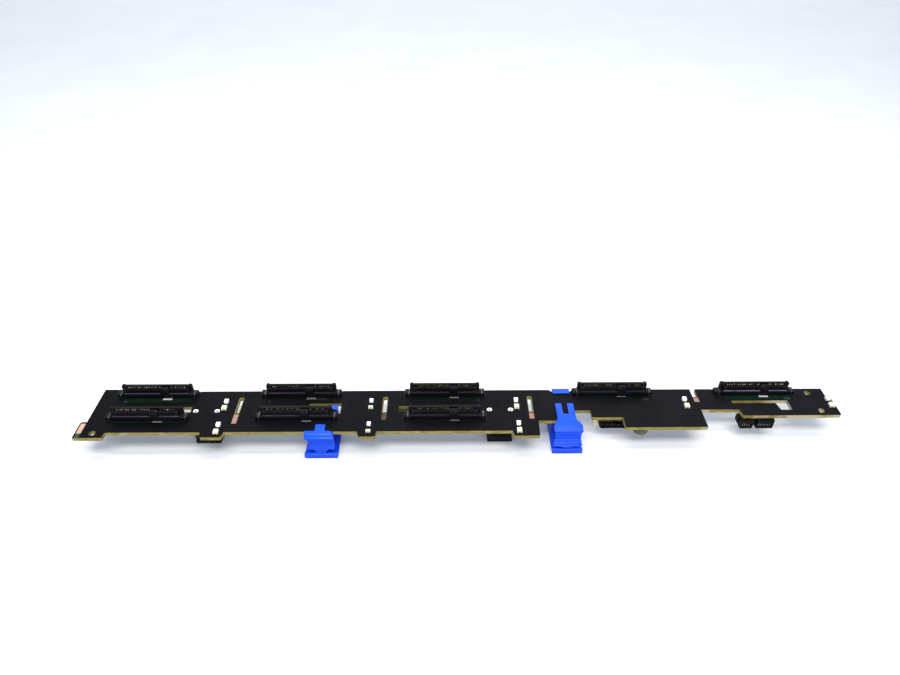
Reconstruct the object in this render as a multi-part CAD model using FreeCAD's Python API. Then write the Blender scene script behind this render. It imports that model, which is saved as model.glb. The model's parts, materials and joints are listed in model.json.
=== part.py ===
"""Drive backplane board for a 1U server, eight 2.5-inch drive bays, drive side up.

Frame while modelling (millimetres): X runs along the board from its left edge, Y runs
away from its near long edge, Z is up from the surface that the assembly stands on.
The finished pieces are moved together so that the origin is the middle of the underside.
"""
import FreeCAD, Part
import math
import os

# ---------------------------------------------------------------- heights
STANDOFF = 14.9           # standing surface to the board's underside
BOARD_THICKNESS = 2.2
FILM_THICKNESS = 0.2      # black insulating film on the drive side
FIT = 0.15                # general assembly clearance

# ---------------------------------------------------------------- bay layout
LEFT_MARGIN = 20.4        # left edge to the first column's datum contact
COLUMN_PITCH = 82.75
CENTRE_GAP = 14.25        # extra width between the third and fourth columns
RIGHT_MARGIN = 55.4       # last column's datum contact to the right edge
NEAR_MARGIN = 11.3        # near edge to the front row's contact line
ROW_PITCH = 18.5
BACK_MARGIN = 2.7         # back row's contact line to the back edge

# ---------------------------------------------------------------- board outline
CORNER_RADIUS = 0.8
LEFT_STEP_LENGTH = 16.0   # deeper stretch at the left end of the back edge
LEFT_STEP_DEPTH = 2.0
END_TAB_REACH = 3.4       # left end tab, beyond the left edge
END_TAB_HEIGHT = 11.9
END_TAB_LENGTH = 12.4
END_TAB_RADIUS = 1.2
END_TAB_STRIP = 0.7       # film kept along the end tab's outer edge
TAB_DEPTH = 3.8           # tabs along the near edge
TAB_FLARE = 1.0
LATCH_TAB_FLARE = 0.3           # right side of the third tab
TAB_REACHES = ((8.0, 3.0), (5.2, 3.7), (2.7, 11.0))   # left and right of each tab's lamp
LATCH_LEDGE_SET_BACK = 7.5      # near edge set back beside the right latch
LATCH_BAY_SET_BACK = 15.5       # near edge set back in front of the right latch
LATCH_BAY_MARGIN = 2.4          # latch bay's end to the fourth column
HEADER_SET_BACK = 9.8           # near edge set back over the power header
HEADER_REACH = 14.8             # that stretch, past the fourth column
NOSE_SET_BACK = 2.0             # near edge between the header and the centre cut-out
NOSE_REACH = 60.2
CUTOUT_SET_BACK = 15.5          # centre cut-out before the fifth column
CUTOUT_MARGIN = 0.8
CUTOUT_SLOPE = 1.2
RIGHT_SET_BACK = 10.7           # near edge of the right end
RIGHT_LEDGE = 2.4               # right edge set in behind the last lamps
RIGHT_LEDGE_LENGTH = 5.8

# ---------------------------------------------------------------- slots and windows
SLOT_OFFSET = 60.8        # slot centre from its column's datum contact
SLOT_WIDTH = 2.1
SLOT_RIM = 0.4            # bare laminate round each slot
SLOT_LENGTH = 12.4
SLOT_FROM_BACK = 5.5
PAD_WIDTH = 2.7
PAD_GAP = 0.9             # slot's near end to its bare copper pad
PAD_LENGTHS = (7.4, 5.0, 4.6)
PAD_THICKNESS = 0.12
END_PAD_NEAR = 8.6        # end tab's pad, from the tab's far end
END_PAD_FAR = 1.1
LAST_PAD_NEAR = 6.5       # pad beside the last lamps, from the far lamp's centre
LAST_PAD_FAR = 1.2
NOTCH_OFFSET = 60.0       # open notch right of the fourth column
NOTCH_WIDTH = 3.0
NOTCH_DEPTH = 6.7
NOTCH_PAD_LENGTH = 3.6
AIR_WINDOW_WIDTH = 6.0    # small window behind a front-row connector's end
AIR_WINDOW_DEPTH = 4.9
AIR_WINDOW_GAP = 1.0      # connector body to that window
AIR_WINDOW_PAST = (2.3, 6.1)  # that window past the housing's end, first and third column
LONG_WINDOW_LENGTH = 32.5     # L-shaped window under the fifth column
LONG_WINDOW_REACH = 29.5      # its right end from the datum contact
LONG_WINDOW_WIDTH = 2.3
LONG_WINDOW_GAP = 7.0         # contact line to the window's far side
LONG_WINDOW_LEG = 7.7
LONG_WINDOW_LEG_DEPTH = 7.8
LONG_WINDOW_SLOPE = 1.2
HOOK_WINDOW_LENGTH = 18.3     # window of the left latch's hook
HOOK_WINDOW_LINE = 7.7        # its near side from the front row's contact line
HOOK_WINDOW_REACH = 36.0      # its right end from the datum contact
HOOK_WINDOW_WIDTH = 3.1
HOOK_WINDOW_LEG = 2.1
HOOK_WINDOW_LEG_DEPTH = 8.2
MOUNT_HOLE_DIAMETER = 3.3
TAB_HOLE = (6.1, -0.3)            # in the left end tab, from the left edge and the near edge
FAR_HOLE_INSET = (11.8, 3.4)      # from the right edge and the back edge
NEAR_HOLE_INSET = (9.8, 18.1)

# ---------------------------------------------------------------- drive receptacles
CONTACT_PITCH = 1.27
POWER_CONTACTS = 15
SIGNAL_CONTACTS = 7
BANK_GAP = 6.35           # last power contact to the first signal contact
DATUM_CONTACT = 3         # power contact that the columns are measured from
BODY_END = 4.2            # outermost contact to the housing's end
BODY_DEPTH = 5.2
FAR_WALL_HEIGHT = 6.6
FAR_WALL_CHAMFER = 0.4
NEAR_WALL_HEIGHT = 5.9
LEDGE_HEIGHT = 3.0
LEDGE_WIDTH = 1.0
SOCKET_WIDTH = 1.4        # slot that takes the drive's tongue
SOCKET_SHIFT = 0.7        # slot's far face from the contact line
SOCKET_FLOOR = 1.0
SOCKET_WEB = 0.7          # wall at each end of the slot
COMB_WIDTH = 0.6
COMB_DEPTH = 0.5
KEY_LENGTH = 4.6
KEY_HEIGHT = 6.8
KEY_SLOPE = 1.2
KEY_RECESS = 0.5          # far wall set back behind the key
POST_LENGTH = 1.8
POST_HEIGHT = 6.8
POST_CHAMFER = 0.6
LUG_LENGTH = 3.0
LUG_DEPTH = 4.2
LUG_HEIGHT = 2.2
LUG_CHAMFER = 0.4
CLIP_SHEET = 0.25
CLIP_WIDTH = 0.4
CLIP_REACH = 4.0          # strap along the lug's top
CLIP_LINES = (-8.5, 33.5)     # straps' middles from the datum contact
CONTACT_WIDTH = 0.5
CONTACT_THICKNESS = 0.22
CONTACT_CROWN = 0.35
CONTACT_TIP = 5.9
FIRST_MATE_RISE = 0.35
FIRST_MATE_CONTACTS = (3, 11)     # taller power contacts
FILM_WINDOW_NEAR = (6.2, 3.8)     # film set back before the back and front rows
FILM_WINDOW_GAP = 0.4

# ---------------------------------------------------------------- lamps and small parts
LAMP_OFFSET = 52.9        # lamp pair's centre from its column's datum contact
LAMP_FAR = 6.5            # far lamp's centre before the contact line
LAMP_PITCH = 5.1
LAMP_WIDTH = 2.6
LAMP_LENGTH = 2.9
LAMP_HEIGHT = 1.6
LAMP_GAP = 0.3            # lamp to the film's opening
LENS_WIDTH = 2.0          # across the flats of the eight-sided cup
LENS_DEPTH = 0.5
LENS_RECESS = 0.1

# ---------------------------------------------------------------- rear cable sockets
CABLE_SOCKET_OFFSET = 43.3    # socket centre from its column's datum contact
CABLE_SOCKET_Y = 16.2
CABLE_SOCKET_WIDTH = 13.2
CABLE_SOCKET_DEPTH = 16.6
CABLE_WALL = 1.2              # outer shroud
CABLE_SHROUD_GAP = 0.9        # shroud to the inner block, for the plug's shell
CABLE_SHROUD_DEPTH = 6.5
CABLE_BLOCK_RECESS = 1.0      # inner block's face above the shroud's mouth
CABLE_CARD_SLOT = 1.3         # slot for each of the plug's two contact cards
CABLE_CARD_WIDTH = 9.0
CABLE_CARD_PITCH = 5.0
CABLE_CARD_DEPTH = 6.0
CABLE_LIP = 0.4
CABLE_LIP_HEIGHT = 2.0
CABLE_TRACK_WIDTH = 8.7
CABLE_TRACK_DEPTH = 0.8
CABLE_TRACK_FLOOR = 3.9
CABLE_TRACK_CORNER = 1.1
CABLE_CATCH_WIDTH = 3.5
CABLE_CATCH_HEIGHT = 1.2
CABLE_CONTACTS = 9
CABLE_CONTACT_PITCH = 0.9
CABLE_CONTACT_WIDTH = 0.4
CABLE_CONTACT_THICKNESS = 0.15
CABLE_CONTACT_RECESS = 0.4
PEG_SPACING = 12.0
PEG_HEAD_DIAMETER = 2.9
PEG_HEAD_HEIGHT = 0.6
PEG_HEAD_TAPER = 0.5
PEG_SHANK_WIDTH = 1.6
PEG_SHANK_DEPTH = 0.8

# ---------------------------------------------------------------- rear headers and parts
POWER_HEADER_OFFSET = 2.4     # header's left end from the fourth column
POWER_PITCH = 3.0
POWER_CIRCUITS = 5
POWER_WALL = 0.6
POWER_CAVITY = 2.2
POWER_ROW_GAP = 0.5
POWER_HEADER_DEPTH = 9.0
POWER_HEADER_PROUD = 0.3      # before the board's edge
POWER_CORNER = 1.5
POWER_BACK_WALL = 2.5
POWER_PIN = 0.64
POWER_PIN_RECESS = 1.0
SIDEBAND_OFFSET = 0.9         # twin header's left end before the fifth column
SIDEBAND_HEIGHT = 5.9
SIDEBAND_PORTS = (7.2, 9.7)   # widths of the narrow and the wide port
SIDEBAND_GAP = 1.8
SIDEBAND_PROUD = 2.2
SIDEBAND_PORT_DEPTH = 2.8
SIDEBAND_BLOCK_DEPTH = 3.6
SIDEBAND_EAR = 1.1
SIDEBAND_EAR_RISE = 2.0
SIDEBAND_CHAMFER = 0.3
SIDEBAND_WALL = 0.9
SIDEBAND_BACK_WALL = 1.2
SIDEBAND_MOUTH = (1.6, 3.4)   # bottom and top of each port's mouth
SIDEBAND_KEY_WIDTH = 1.4
SIDEBAND_KEY_RISE = 1.2
SIDEBAND_SPRING_WIDTH = 1.8
SIDEBAND_SPRING = 0.25        # sheet of the springs and blades
SIDEBAND_BLADE = 0.4
SIDEBAND_FIRST = 1.5          # least distance from a port's end to its first contact
CAN_OFFSET = 25.2             # round can's centre past the fourth column
CAN_Y = 7.8
CAN_DIAMETER = 8.4
CAN_HEIGHT = 6.0
TEST_PIN_OFFSET = 2.2         # past the right latch's bay
TEST_PIN_WIDTH = 1.6
TEST_PIN_DEPTH = 0.6
TEST_PIN_TAPER = 3.6
TEST_PIN_LENGTH = 4.8
CONTROLLER_SIDE = 12.0
CONTROLLER_HEIGHT = 1.2
CONTROLLER_BEVEL = 0.3
CONTROLLER_OFFSET = 14.0       # chip's centre before the third column
CONTROLLER_Y = 17.0
REAR_CHIP_LENGTH = 2.0
REAR_CHIP_WIDTH = 1.25
REAR_CHIP_HEIGHT = 0.8
REAR_CHIP_LINE = 6.5          # from the bay's contact line
COIL_OFFSET = 30.0            # coil's centre past the fourth column
COIL_FROM_BACK = 10.0
COIL_CORNER = 1.2
COIL_SIDE = 7.2
COIL_HEIGHT = 4.0

# ---------------------------------------------------------------- release latches
LATCH_PLATE = 1.5             # wall of the sprung grip plate
LATCH_CURVE = 7.0             # radius of the grip plate's hollow
LATCH_GRIP_WIDTH = 15.1
LATCH_EAR = 0.7               # shoulder past the grip plate on one side
LATCH_TONGUE_THICKNESS = 1.1
LATCH_GROOVE_WIDTH = 0.8
LATCH_GROOVE_DEPTH = 0.5
LATCH_BASE_THICKNESS = 1.8
LATCH_WAIST = 0.8             # grip plate drawn in at mid-height
LATCH_WAIST_HEIGHTS = (14.9, 13.2, 9.5, 6.3)      # ear's end, waist, flare's start and end
LATCH_LIP_HEIGHT = 3.3
LATCH_LIP_DEPTH = 1.5
LATCH_CHAMFER = 0.5
LATCH_RIB = 1.4
LATCH_RIB_HEIGHT = 4.5
LATCH_RIB_TOE = 6.0           # front lip to the ribs' front ends
LATCH_RIB_SLOPE = 3.0
LATCH_STEM = 1.8
LATCH_STEM_WIDTH = 11.0
THUMB_WIDTH = 8.2             # rounded middle of the grip plate's lower edge
BACK_NOTCH_DEPTH = 1.6        # board notch for the right latch's hook
LEFT_LATCH_OFFSET = 26.3      # latch centre from the second column
LEFT_TONGUE_WIDTH = 5.3
LEFT_TONGUE_SHIFT = 0.2
LEFT_CORNER = 1.75            # corner cut off the shoulder on the right
LEFT_TONGUE_REACH = 4.35      # tongue on the board, from the near edge
LEFT_FRONT = 3.8              # front of the base before the near edge
LEFT_BASE_WIDTH = 18.2
LEFT_BASE_PAST = 1.35         # base past the grip plate on the right
LEFT_CREST = -0.5             # shoulder's far end, the knee below it, hollow and flare
LEFT_KNEE = (-3.5, 14.9)
LEFT_HOLLOW = (-1.6, 9.8)
LEFT_FLARE = (-3.5, 3.6)
LEFT_THUMB_DROP = 2.3
LEFT_STEM = 2.0
LEFT_WEB = -2.2
LEFT_HOOK_SHIFT = 6.5         # hook's middle from the latch's
LEFT_HOOK_WIDTH = 2.6
LEFT_HOOK_PLATE = 0.8
LEFT_HOOK_GRIP = 2.8          # hook's overlap on the board
RIGHT_LATCH_OFFSET = 16.8     # latch centre before the fourth column
RIGHT_TONGUE_WIDTH = 10.3
RIGHT_TONGUE_SHIFT = -0.2
RIGHT_TONGUE_REACH = 12.5     # fork on the board, from the ledge's edge
RIGHT_FRONT = 1.35
RIGHT_BASE_WIDTH = 16.85
RIGHT_BASE_PAST = 0.5         # base past the grip plate on the left
RIGHT_CREST = 0.3             # shoulder's far end from the ledge's edge
RIGHT_KNEE = (0.9, 15.3)
RIGHT_HOLLOW = (1.0, 9.8)
RIGHT_FLARE = (-1.8, 4.6)
RIGHT_THUMB_DROP = 1.1
RIGHT_STEM = 4.4
RIGHT_WEB = 2.0
RIGHT_HOOK_WIDTH = 9.8
RIGHT_HOOK_SHIFT = -0.6       # hook's middle from the latch's
RIGHT_HOOK_PLATE = 1.7
RIGHT_HOOK_GRIP = 2.2
FORK_SLOT = 3.25
FORK_SLOT_LENGTH = 8.45
SHOULDER_SLOPE = 3.5          # fork's sides slope to the grip plate's width over this depth

# ---------------------------------------------------------------- derived places
columns = []
for index in range(5):
    shift = CENTRE_GAP if index > 2 else 0.0
    columns.append(LEFT_MARGIN + index * COLUMN_PITCH + shift)
front_row = NEAR_MARGIN
back_row = front_row + ROW_PITCH
back_edge = back_row + BACK_MARGIN
right_edge = columns[4] + RIGHT_MARGIN
board_bottom = STANDOFF
board_top = board_bottom + BOARD_THICKNESS
film_top = board_top + FILM_THICKNESS
bays = [(x, back_row) for x in columns] + [(x, front_row) for x in columns[:3]]

first_contact = -DATUM_CONTACT * CONTACT_PITCH
last_power = first_contact + (POWER_CONTACTS - 1) * CONTACT_PITCH
first_signal = last_power + BANK_GAP
last_contact = first_signal + (SIGNAL_CONTACTS - 1) * CONTACT_PITCH
power_places = [first_contact + n * CONTACT_PITCH for n in range(POWER_CONTACTS)]
signal_places = [first_signal + n * CONTACT_PITCH for n in range(SIGNAL_CONTACTS)]
contact_places = power_places + signal_places
body_left = first_contact - BODY_END
body_right = last_contact + BODY_END
body_near = -BODY_DEPTH / 2
body_far = BODY_DEPTH / 2
socket_far = SOCKET_SHIFT
socket_near = SOCKET_SHIFT - SOCKET_WIDTH

latch_bay_left = columns[3] - RIGHT_LATCH_OFFSET + RIGHT_TONGUE_WIDTH / 2 - FIT
latch_bay_right = columns[3] - LATCH_BAY_MARGIN
left_latch_x = columns[1] + LEFT_LATCH_OFFSET
right_latch_x = columns[3] - RIGHT_LATCH_OFFSET
left_hook_x = left_latch_x + LEFT_HOOK_SHIFT
right_hook_x = right_latch_x + RIGHT_HOOK_SHIFT
cable_sockets = [columns[0] + CABLE_SOCKET_OFFSET, columns[2] + CABLE_SOCKET_OFFSET]
hook_window_near = front_row + HOOK_WINDOW_LINE
hook_window_right = columns[1] + HOOK_WINDOW_REACH

os.makedirs("parts", exist_ok=True)


# ---------------------------------------------------------------- drawing helpers
def flat(u, v):
    """A point of a plan outline, drawn in X and Y."""
    return FreeCAD.Vector(u, v, 0)


def side(u, v):
    """A point of a side profile, drawn in Y and Z."""
    return FreeCAD.Vector(0, u, v)


def front(u, v):
    """A point of a front profile, drawn in X and Z."""
    return FreeCAD.Vector(u, 0, v)


def face_of(points, place):
    """Face inside a closed outline of (u, v) or (u, v, corner radius) points."""
    corners = [place(p[0], p[1]) for p in points]
    radii = [p[2] if len(p) > 2 else 0.0 for p in points]
    count = len(corners)
    starts = []
    ends = []
    middles = []
    for n in range(count):
        here = corners[n]
        back = (corners[n - 1] - here).normalize()
        ahead = (corners[(n + 1) % count] - here).normalize()
        half = back.getAngle(ahead) / 2
        if radii[n] > 0:
            run = radii[n] / math.tan(half)
            centre = here + (back + ahead).normalize() * (radii[n] / math.sin(half))
            starts.append(here + back * run)
            ends.append(here + ahead * run)
            middles.append(centre + (here - centre).normalize() * radii[n])
        else:
            starts.append(here)
            ends.append(here)
            middles.append(None)
    edges = []
    for n in range(count):
        if middles[n] is not None:
            edges.append(Part.Arc(starts[n], middles[n], ends[n]).toShape())
        nxt = starts[(n + 1) % count]
        if (nxt - ends[n]).Length > 1e-6:
            edges.append(Part.LineSegment(ends[n], nxt).toShape())
    return Part.Face(Part.Wire(edges))


def plate(points, bottom, top):
    """Plan outline extruded up from one height to another."""
    shape = face_of(points, flat).extrude(FreeCAD.Vector(0, 0, top - bottom))
    return shape.translated(FreeCAD.Vector(0, 0, bottom))


def profile_x(points, left, right):
    """Side profile extruded along X."""
    shape = face_of(points, side).extrude(FreeCAD.Vector(right - left, 0, 0))
    return shape.translated(FreeCAD.Vector(left, 0, 0))


def profile_y(points, near, far):
    """Front profile extruded along Y."""
    shape = face_of(points, front).extrude(FreeCAD.Vector(0, far - near, 0))
    return shape.translated(FreeCAD.Vector(0, near, 0))


def block(left, right, near, far, bottom, top):
    corner = FreeCAD.Vector(left, near, bottom)
    return Part.makeBox(right - left, far - near, top - bottom, corner)


def rectangle(left, right, near, far, radius=0.0):
    return [(left, near, radius), (right, near, radius), (right, far, radius), (left, far, radius)]


def slotted(left, right, near, far, bottom, top):
    """Routed slot along Y with round ends."""
    radius = (right - left) / 2
    middle = (left + right) / 2
    ends = [rod(middle, y, 2 * radius, bottom, top) for y in (near + radius, far - radius)]
    return joined([block(left, right, near + radius, far - radius, bottom, top)] + ends)


def octagon(x, y, width):
    """Eight-sided outline, given across its flats."""
    radius = width / 2 / math.cos(math.pi / 8)
    angles = [math.pi / 8 + n * math.pi / 4 for n in range(8)]
    return [(x + radius * math.cos(a), y + radius * math.sin(a)) for a in angles]


def tapered(low_outline, low, high_outline, high):
    """Solid between two plan outlines with the same number of corners."""
    wires = []
    for outline, z in [(low_outline, low), (high_outline, high)]:
        wires.append(face_of(outline, flat).OuterWire.translated(FreeCAD.Vector(0, 0, z)))
    return Part.makeLoft(wires, True, True)


def rod(x, y, diameter, bottom, top):
    return Part.makeCylinder(diameter / 2, top - bottom, FreeCAD.Vector(x, y, bottom))


def joined(shapes):
    """One solid from touching or overlapping solids."""
    return shapes[0].multiFuse(shapes[1:]).removeSplitter()


def without(shape, cutters):
    return shape.cut(cutters)


def lamp_x(column):
    return column + LAMP_OFFSET


def board_outline():
    """Closed outline, from the left end of the near edge, running to the right."""
    tab = -TAB_DEPTH
    r = CORNER_RADIUS
    points = [(-END_TAB_REACH, tab), (END_TAB_LENGTH, tab), (END_TAB_LENGTH, -r), (END_TAB_LENGTH + r, 0)]
    for column, (reach_left, reach_right) in zip(columns[:2], TAB_REACHES):
        left = lamp_x(column) - reach_left
        right = lamp_x(column) + reach_right
        points += [(left - TAB_FLARE, 0), (left, tab, r), (right, tab, r), (right + TAB_FLARE, 0)]
    left = lamp_x(columns[2]) - TAB_REACHES[2][0]
    right = lamp_x(columns[2]) + TAB_REACHES[2][1]
    points += [(left - TAB_FLARE, 0), (left, tab, r), (right, tab, r), (right + LATCH_TAB_FLARE, LATCH_LEDGE_SET_BACK)]
    points += [(latch_bay_left, LATCH_LEDGE_SET_BACK), (latch_bay_left, LATCH_BAY_SET_BACK)]
    points += [(latch_bay_right, LATCH_BAY_SET_BACK, r), (latch_bay_right, HEADER_SET_BACK)]
    header_end = columns[3] + HEADER_REACH
    nose_end = columns[3] + NOSE_REACH
    points += [(header_end, HEADER_SET_BACK), (header_end, NOSE_SET_BACK)]
    points += [(nose_end, NOSE_SET_BACK), (nose_end, CUTOUT_SET_BACK)]
    cutout_end = columns[4] - CUTOUT_MARGIN
    points += [(cutout_end, CUTOUT_SET_BACK), (cutout_end + CUTOUT_SLOPE, RIGHT_SET_BACK)]
    ledge = back_edge - RIGHT_LEDGE_LENGTH
    points += [(right_edge, RIGHT_SET_BACK, r), (right_edge, ledge)]
    points += [(right_edge - RIGHT_LEDGE, ledge), (right_edge - RIGHT_LEDGE, back_edge)]
    notch = columns[3] + NOTCH_OFFSET - NOTCH_WIDTH / 2
    points += [(notch + NOTCH_WIDTH, back_edge), (notch + NOTCH_WIDTH, back_edge - NOTCH_DEPTH)]
    points += [(notch, back_edge - NOTCH_DEPTH), (notch, back_edge)]
    hook = RIGHT_HOOK_WIDTH / 2 + 2 * FIT
    floor = back_edge - BACK_NOTCH_DEPTH
    lead = BACK_NOTCH_DEPTH
    points += [(right_hook_x + hook + lead, back_edge), (right_hook_x + hook, floor)]
    points += [(right_hook_x - hook, floor), (right_hook_x - hook - lead, back_edge)]
    deep = back_edge + LEFT_STEP_DEPTH
    points += [(LEFT_STEP_LENGTH, back_edge), (LEFT_STEP_LENGTH, deep), (0, deep)]
    points += [(0, END_TAB_HEIGHT - TAB_DEPTH), (-END_TAB_REACH, END_TAB_HEIGHT - TAB_DEPTH, END_TAB_RADIUS)]
    return points


def slots():
    """Left and right side, near and far end of each closed slot."""
    far = back_edge - SLOT_FROM_BACK
    places = []
    for column in columns[:3]:
        middle = column + SLOT_OFFSET
        places.append((middle - SLOT_WIDTH / 2, middle + SLOT_WIDTH / 2, far - SLOT_LENGTH, far))
    return places


def pads():
    """Left, right, near and far side of each bare copper pad."""
    places = []
    for (left, right, near, far), length in zip(slots(), PAD_LENGTHS):
        middle = (left + right) / 2
        places.append((middle - PAD_WIDTH / 2, middle + PAD_WIDTH / 2, near - PAD_GAP - length, near - PAD_GAP))
    notch = columns[3] + NOTCH_OFFSET - NOTCH_WIDTH / 2
    top = back_edge - NOTCH_DEPTH - PAD_GAP / 2
    places.append((notch, notch + NOTCH_WIDTH, top - NOTCH_PAD_LENGTH, top))
    low = END_TAB_HEIGHT - TAB_DEPTH
    end_left = -END_TAB_REACH + END_TAB_STRIP
    places.append((end_left, 0.0, low - END_PAD_NEAR, low - END_PAD_FAR))
    lamps = back_row - LAMP_FAR
    last_left = lamp_x(columns[4]) + LAMP_WIDTH / 2 + LAMP_GAP
    places.append((last_left, right_edge - LAMP_GAP, lamps - LAST_PAD_NEAR, lamps + LAST_PAD_FAR))
    return places


def windows():
    """Plan outlines of the windows through the board."""
    shapes = []
    near = front_row + BODY_DEPTH / 2 + AIR_WINDOW_GAP
    far = near + AIR_WINDOW_DEPTH
    right = columns[0] + body_right + AIR_WINDOW_PAST[0]
    shapes.append(rectangle(right - AIR_WINDOW_WIDTH, right, near, far))
    left = columns[2] + body_left - AIR_WINDOW_PAST[1]
    shapes.append(rectangle(left, left + AIR_WINDOW_WIDTH, near, far))
    right = hook_window_right
    far = hook_window_near + HOOK_WINDOW_WIDTH
    knee = right - HOOK_WINDOW_LEG
    shapes.append([(right - HOOK_WINDOW_LENGTH, hook_window_near), (knee, hook_window_near),
                   (knee, far - HOOK_WINDOW_LEG_DEPTH), (right, far - HOOK_WINDOW_LEG_DEPTH),
                   (right, far), (right - HOOK_WINDOW_LENGTH, far)])
    right = columns[4] + LONG_WINDOW_REACH
    far = back_row - LONG_WINDOW_GAP
    near = far - LONG_WINDOW_WIDTH
    knee = right - LONG_WINDOW_LEG
    low = far - LONG_WINDOW_LEG_DEPTH
    shapes.append([(right - LONG_WINDOW_LENGTH, near), (knee, near), (knee + LONG_WINDOW_SLOPE, low),
                   (right, low), (right, far), (right - LONG_WINDOW_LENGTH, far)])
    return shapes


def mount_holes():
    """Centres of the three plain mounting holes."""
    far_hole = (right_edge - FAR_HOLE_INSET[0], back_edge - FAR_HOLE_INSET[1])
    near_hole = (right_edge - NEAR_HOLE_INSET[0], back_edge - NEAR_HOLE_INSET[1])
    return [TAB_HOLE, far_hole, near_hole]


def peg_places():
    places = []
    for x in cable_sockets:
        places.append((x - PEG_SPACING / 2, CABLE_SOCKET_Y))
        places.append((x + PEG_SPACING / 2, CABLE_SOCKET_Y))
    return places


def circuit_board():
    base = plate(board_outline(), board_bottom, board_top)
    low = board_bottom - 1
    high = board_top + 1
    cutters = [slotted(*place, low, high) for place in slots()]
    cutters += [plate(outline, low, high) for outline in windows()]
    cutters += [rod(x, y, MOUNT_HOLE_DIAMETER, low, high) for x, y in mount_holes()]
    wide = PEG_SHANK_WIDTH / 2 + FIT
    deep = PEG_SHANK_DEPTH / 2 + FIT
    cutters += [block(x - wide, x + wide, y - deep, y + deep, low, high) for x, y in peg_places()]
    return without(base, cutters)


def film_windows():
    """Openings in the film: connectors, lamps, slots with their pads, end tab and holes."""
    low = board_top - 1
    high = film_top + 1
    cutters = []
    for x, row in bays:
        near = row - FILM_WINDOW_NEAR[0 if row == back_row else 1]
        far = back_edge + 1 if row == back_row else row + body_far + FILM_WINDOW_GAP
        left = x + body_left - LUG_LENGTH - FILM_WINDOW_GAP
        right = x + body_right + LUG_LENGTH + FILM_WINDOW_GAP
        lug_near = row - LUG_DEPTH / 2 - CLIP_SHEET - FILM_WINDOW_GAP
        cutters.append(block(left, right, lug_near, far, low, high))
        cutters.append(block(x + body_left + POST_LENGTH, x + body_right, near, far, low, high))
        for step in (0, 1):
            y = row - LAMP_FAR - step * LAMP_PITCH
            half_width = LAMP_WIDTH / 2 + LAMP_GAP
            half_length = LAMP_LENGTH / 2 + LAMP_GAP
            cutters.append(block(lamp_x(x) - half_width, lamp_x(x) + half_width,
                                 y - half_length, y + half_length, low, high))
    rim = SLOT_RIM
    for left, right, near, far in slots():
        corner = (right - left) / 3
        top = far + rim
        opening = [(left - rim, near - rim), (right + rim, near - rim), (right + rim, top - corner),
                   (right + rim - corner, top), (left - rim + corner, top), (left - rim, top - corner)]
        cutters.append(plate(opening, low, high))
    for left, right, near, far in pads():
        cutters.append(block(left, right, near, far, low, high))
    for outline in windows():
        cutters.append(plate(outline, low, high))
    cutters.append(block(-END_TAB_REACH + END_TAB_STRIP, 0.0, -TAB_DEPTH - 1, 0.0, low, high))
    for x, y in mount_holes():
        cutters.append(plate(octagon(x, y, MOUNT_HOLE_DIAMETER + 4 * FIT), low, high))
    for x, y in peg_places():
        wide = PEG_SHANK_WIDTH / 2 + FIT
        deep = PEG_SHANK_DEPTH / 2 + FIT
        cutters.append(block(x - wide, x + wide, y - deep, y + deep, low, high))
    return cutters


def insulating_film():
    return without(plate(board_outline(), board_top, film_top), film_windows())


def copper_pads():
    shapes = [block(*place, board_top, board_top + PAD_THICKNESS) for place in pads()]
    return Part.makeCompound(shapes)


# ---------------------------------------------------------------- drive receptacles
def receptacle_housing():
    """Moulded housing about its datum contact, standing on height zero."""
    step = body_near + LEDGE_WIDTH
    inner_left = body_left + POST_LENGTH
    inner_right = body_right - POST_LENGTH
    section = [(body_near, 0), (body_far, 0), (body_far, FAR_WALL_HEIGHT - FAR_WALL_CHAMFER),
               (body_far - FAR_WALL_CHAMFER, FAR_WALL_HEIGHT), (socket_far, FAR_WALL_HEIGHT),
               (socket_far, SOCKET_FLOOR), (socket_near, SOCKET_FLOOR),
               (socket_near, NEAR_WALL_HEIGHT), (step, NEAR_WALL_HEIGHT),
               (step, LEDGE_HEIGHT), (body_near, LEDGE_HEIGHT)]
    pieces = [profile_x(section, inner_left, inner_right)]
    for left in (inner_left, inner_right - SOCKET_WEB):
        pieces.append(block(left, left + SOCKET_WEB, socket_near, socket_far, SOCKET_FLOOR, NEAR_WALL_HEIGHT))
    key_left = (last_power + first_signal - KEY_LENGTH) / 2
    key_right = key_left + KEY_LENGTH
    key = [(body_near, LEDGE_HEIGHT), (socket_near, LEDGE_HEIGHT), (socket_near, KEY_HEIGHT),
           (step, KEY_HEIGHT), (body_near, KEY_HEIGHT - KEY_SLOPE)]
    pieces.append(profile_x(key, key_left, key_right))
    for outer, inner, way in ((body_left, inner_left, 1), (body_right, inner_right, -1)):
        post = [(outer, 0), (inner, 0), (inner, POST_HEIGHT), (outer + way * POST_CHAMFER, POST_HEIGHT),
                (outer, POST_HEIGHT - POST_CHAMFER)]
        pieces.append(profile_y(post, socket_far, body_far))
        end = outer - way * LUG_LENGTH
        lug = [(inner, 0), (end, 0), (end, LUG_HEIGHT - LUG_CHAMFER), (end + way * LUG_CHAMFER, LUG_HEIGHT),
               (inner, LUG_HEIGHT)]
        pieces.append(profile_y(lug, -LUG_DEPTH / 2, LUG_DEPTH / 2))
    cuts = [block(key_left, key_right, socket_far - 1, socket_far + KEY_RECESS, SOCKET_FLOOR,
                  FAR_WALL_HEIGHT + 1)]
    for x in contact_places:
        cuts.append(block(x - COMB_WIDTH / 2, x + COMB_WIDTH / 2, step - 1, step + COMB_DEPTH,
                          LEDGE_HEIGHT, NEAR_WALL_HEIGHT + 1))
    return without(joined(pieces), cuts)


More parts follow.
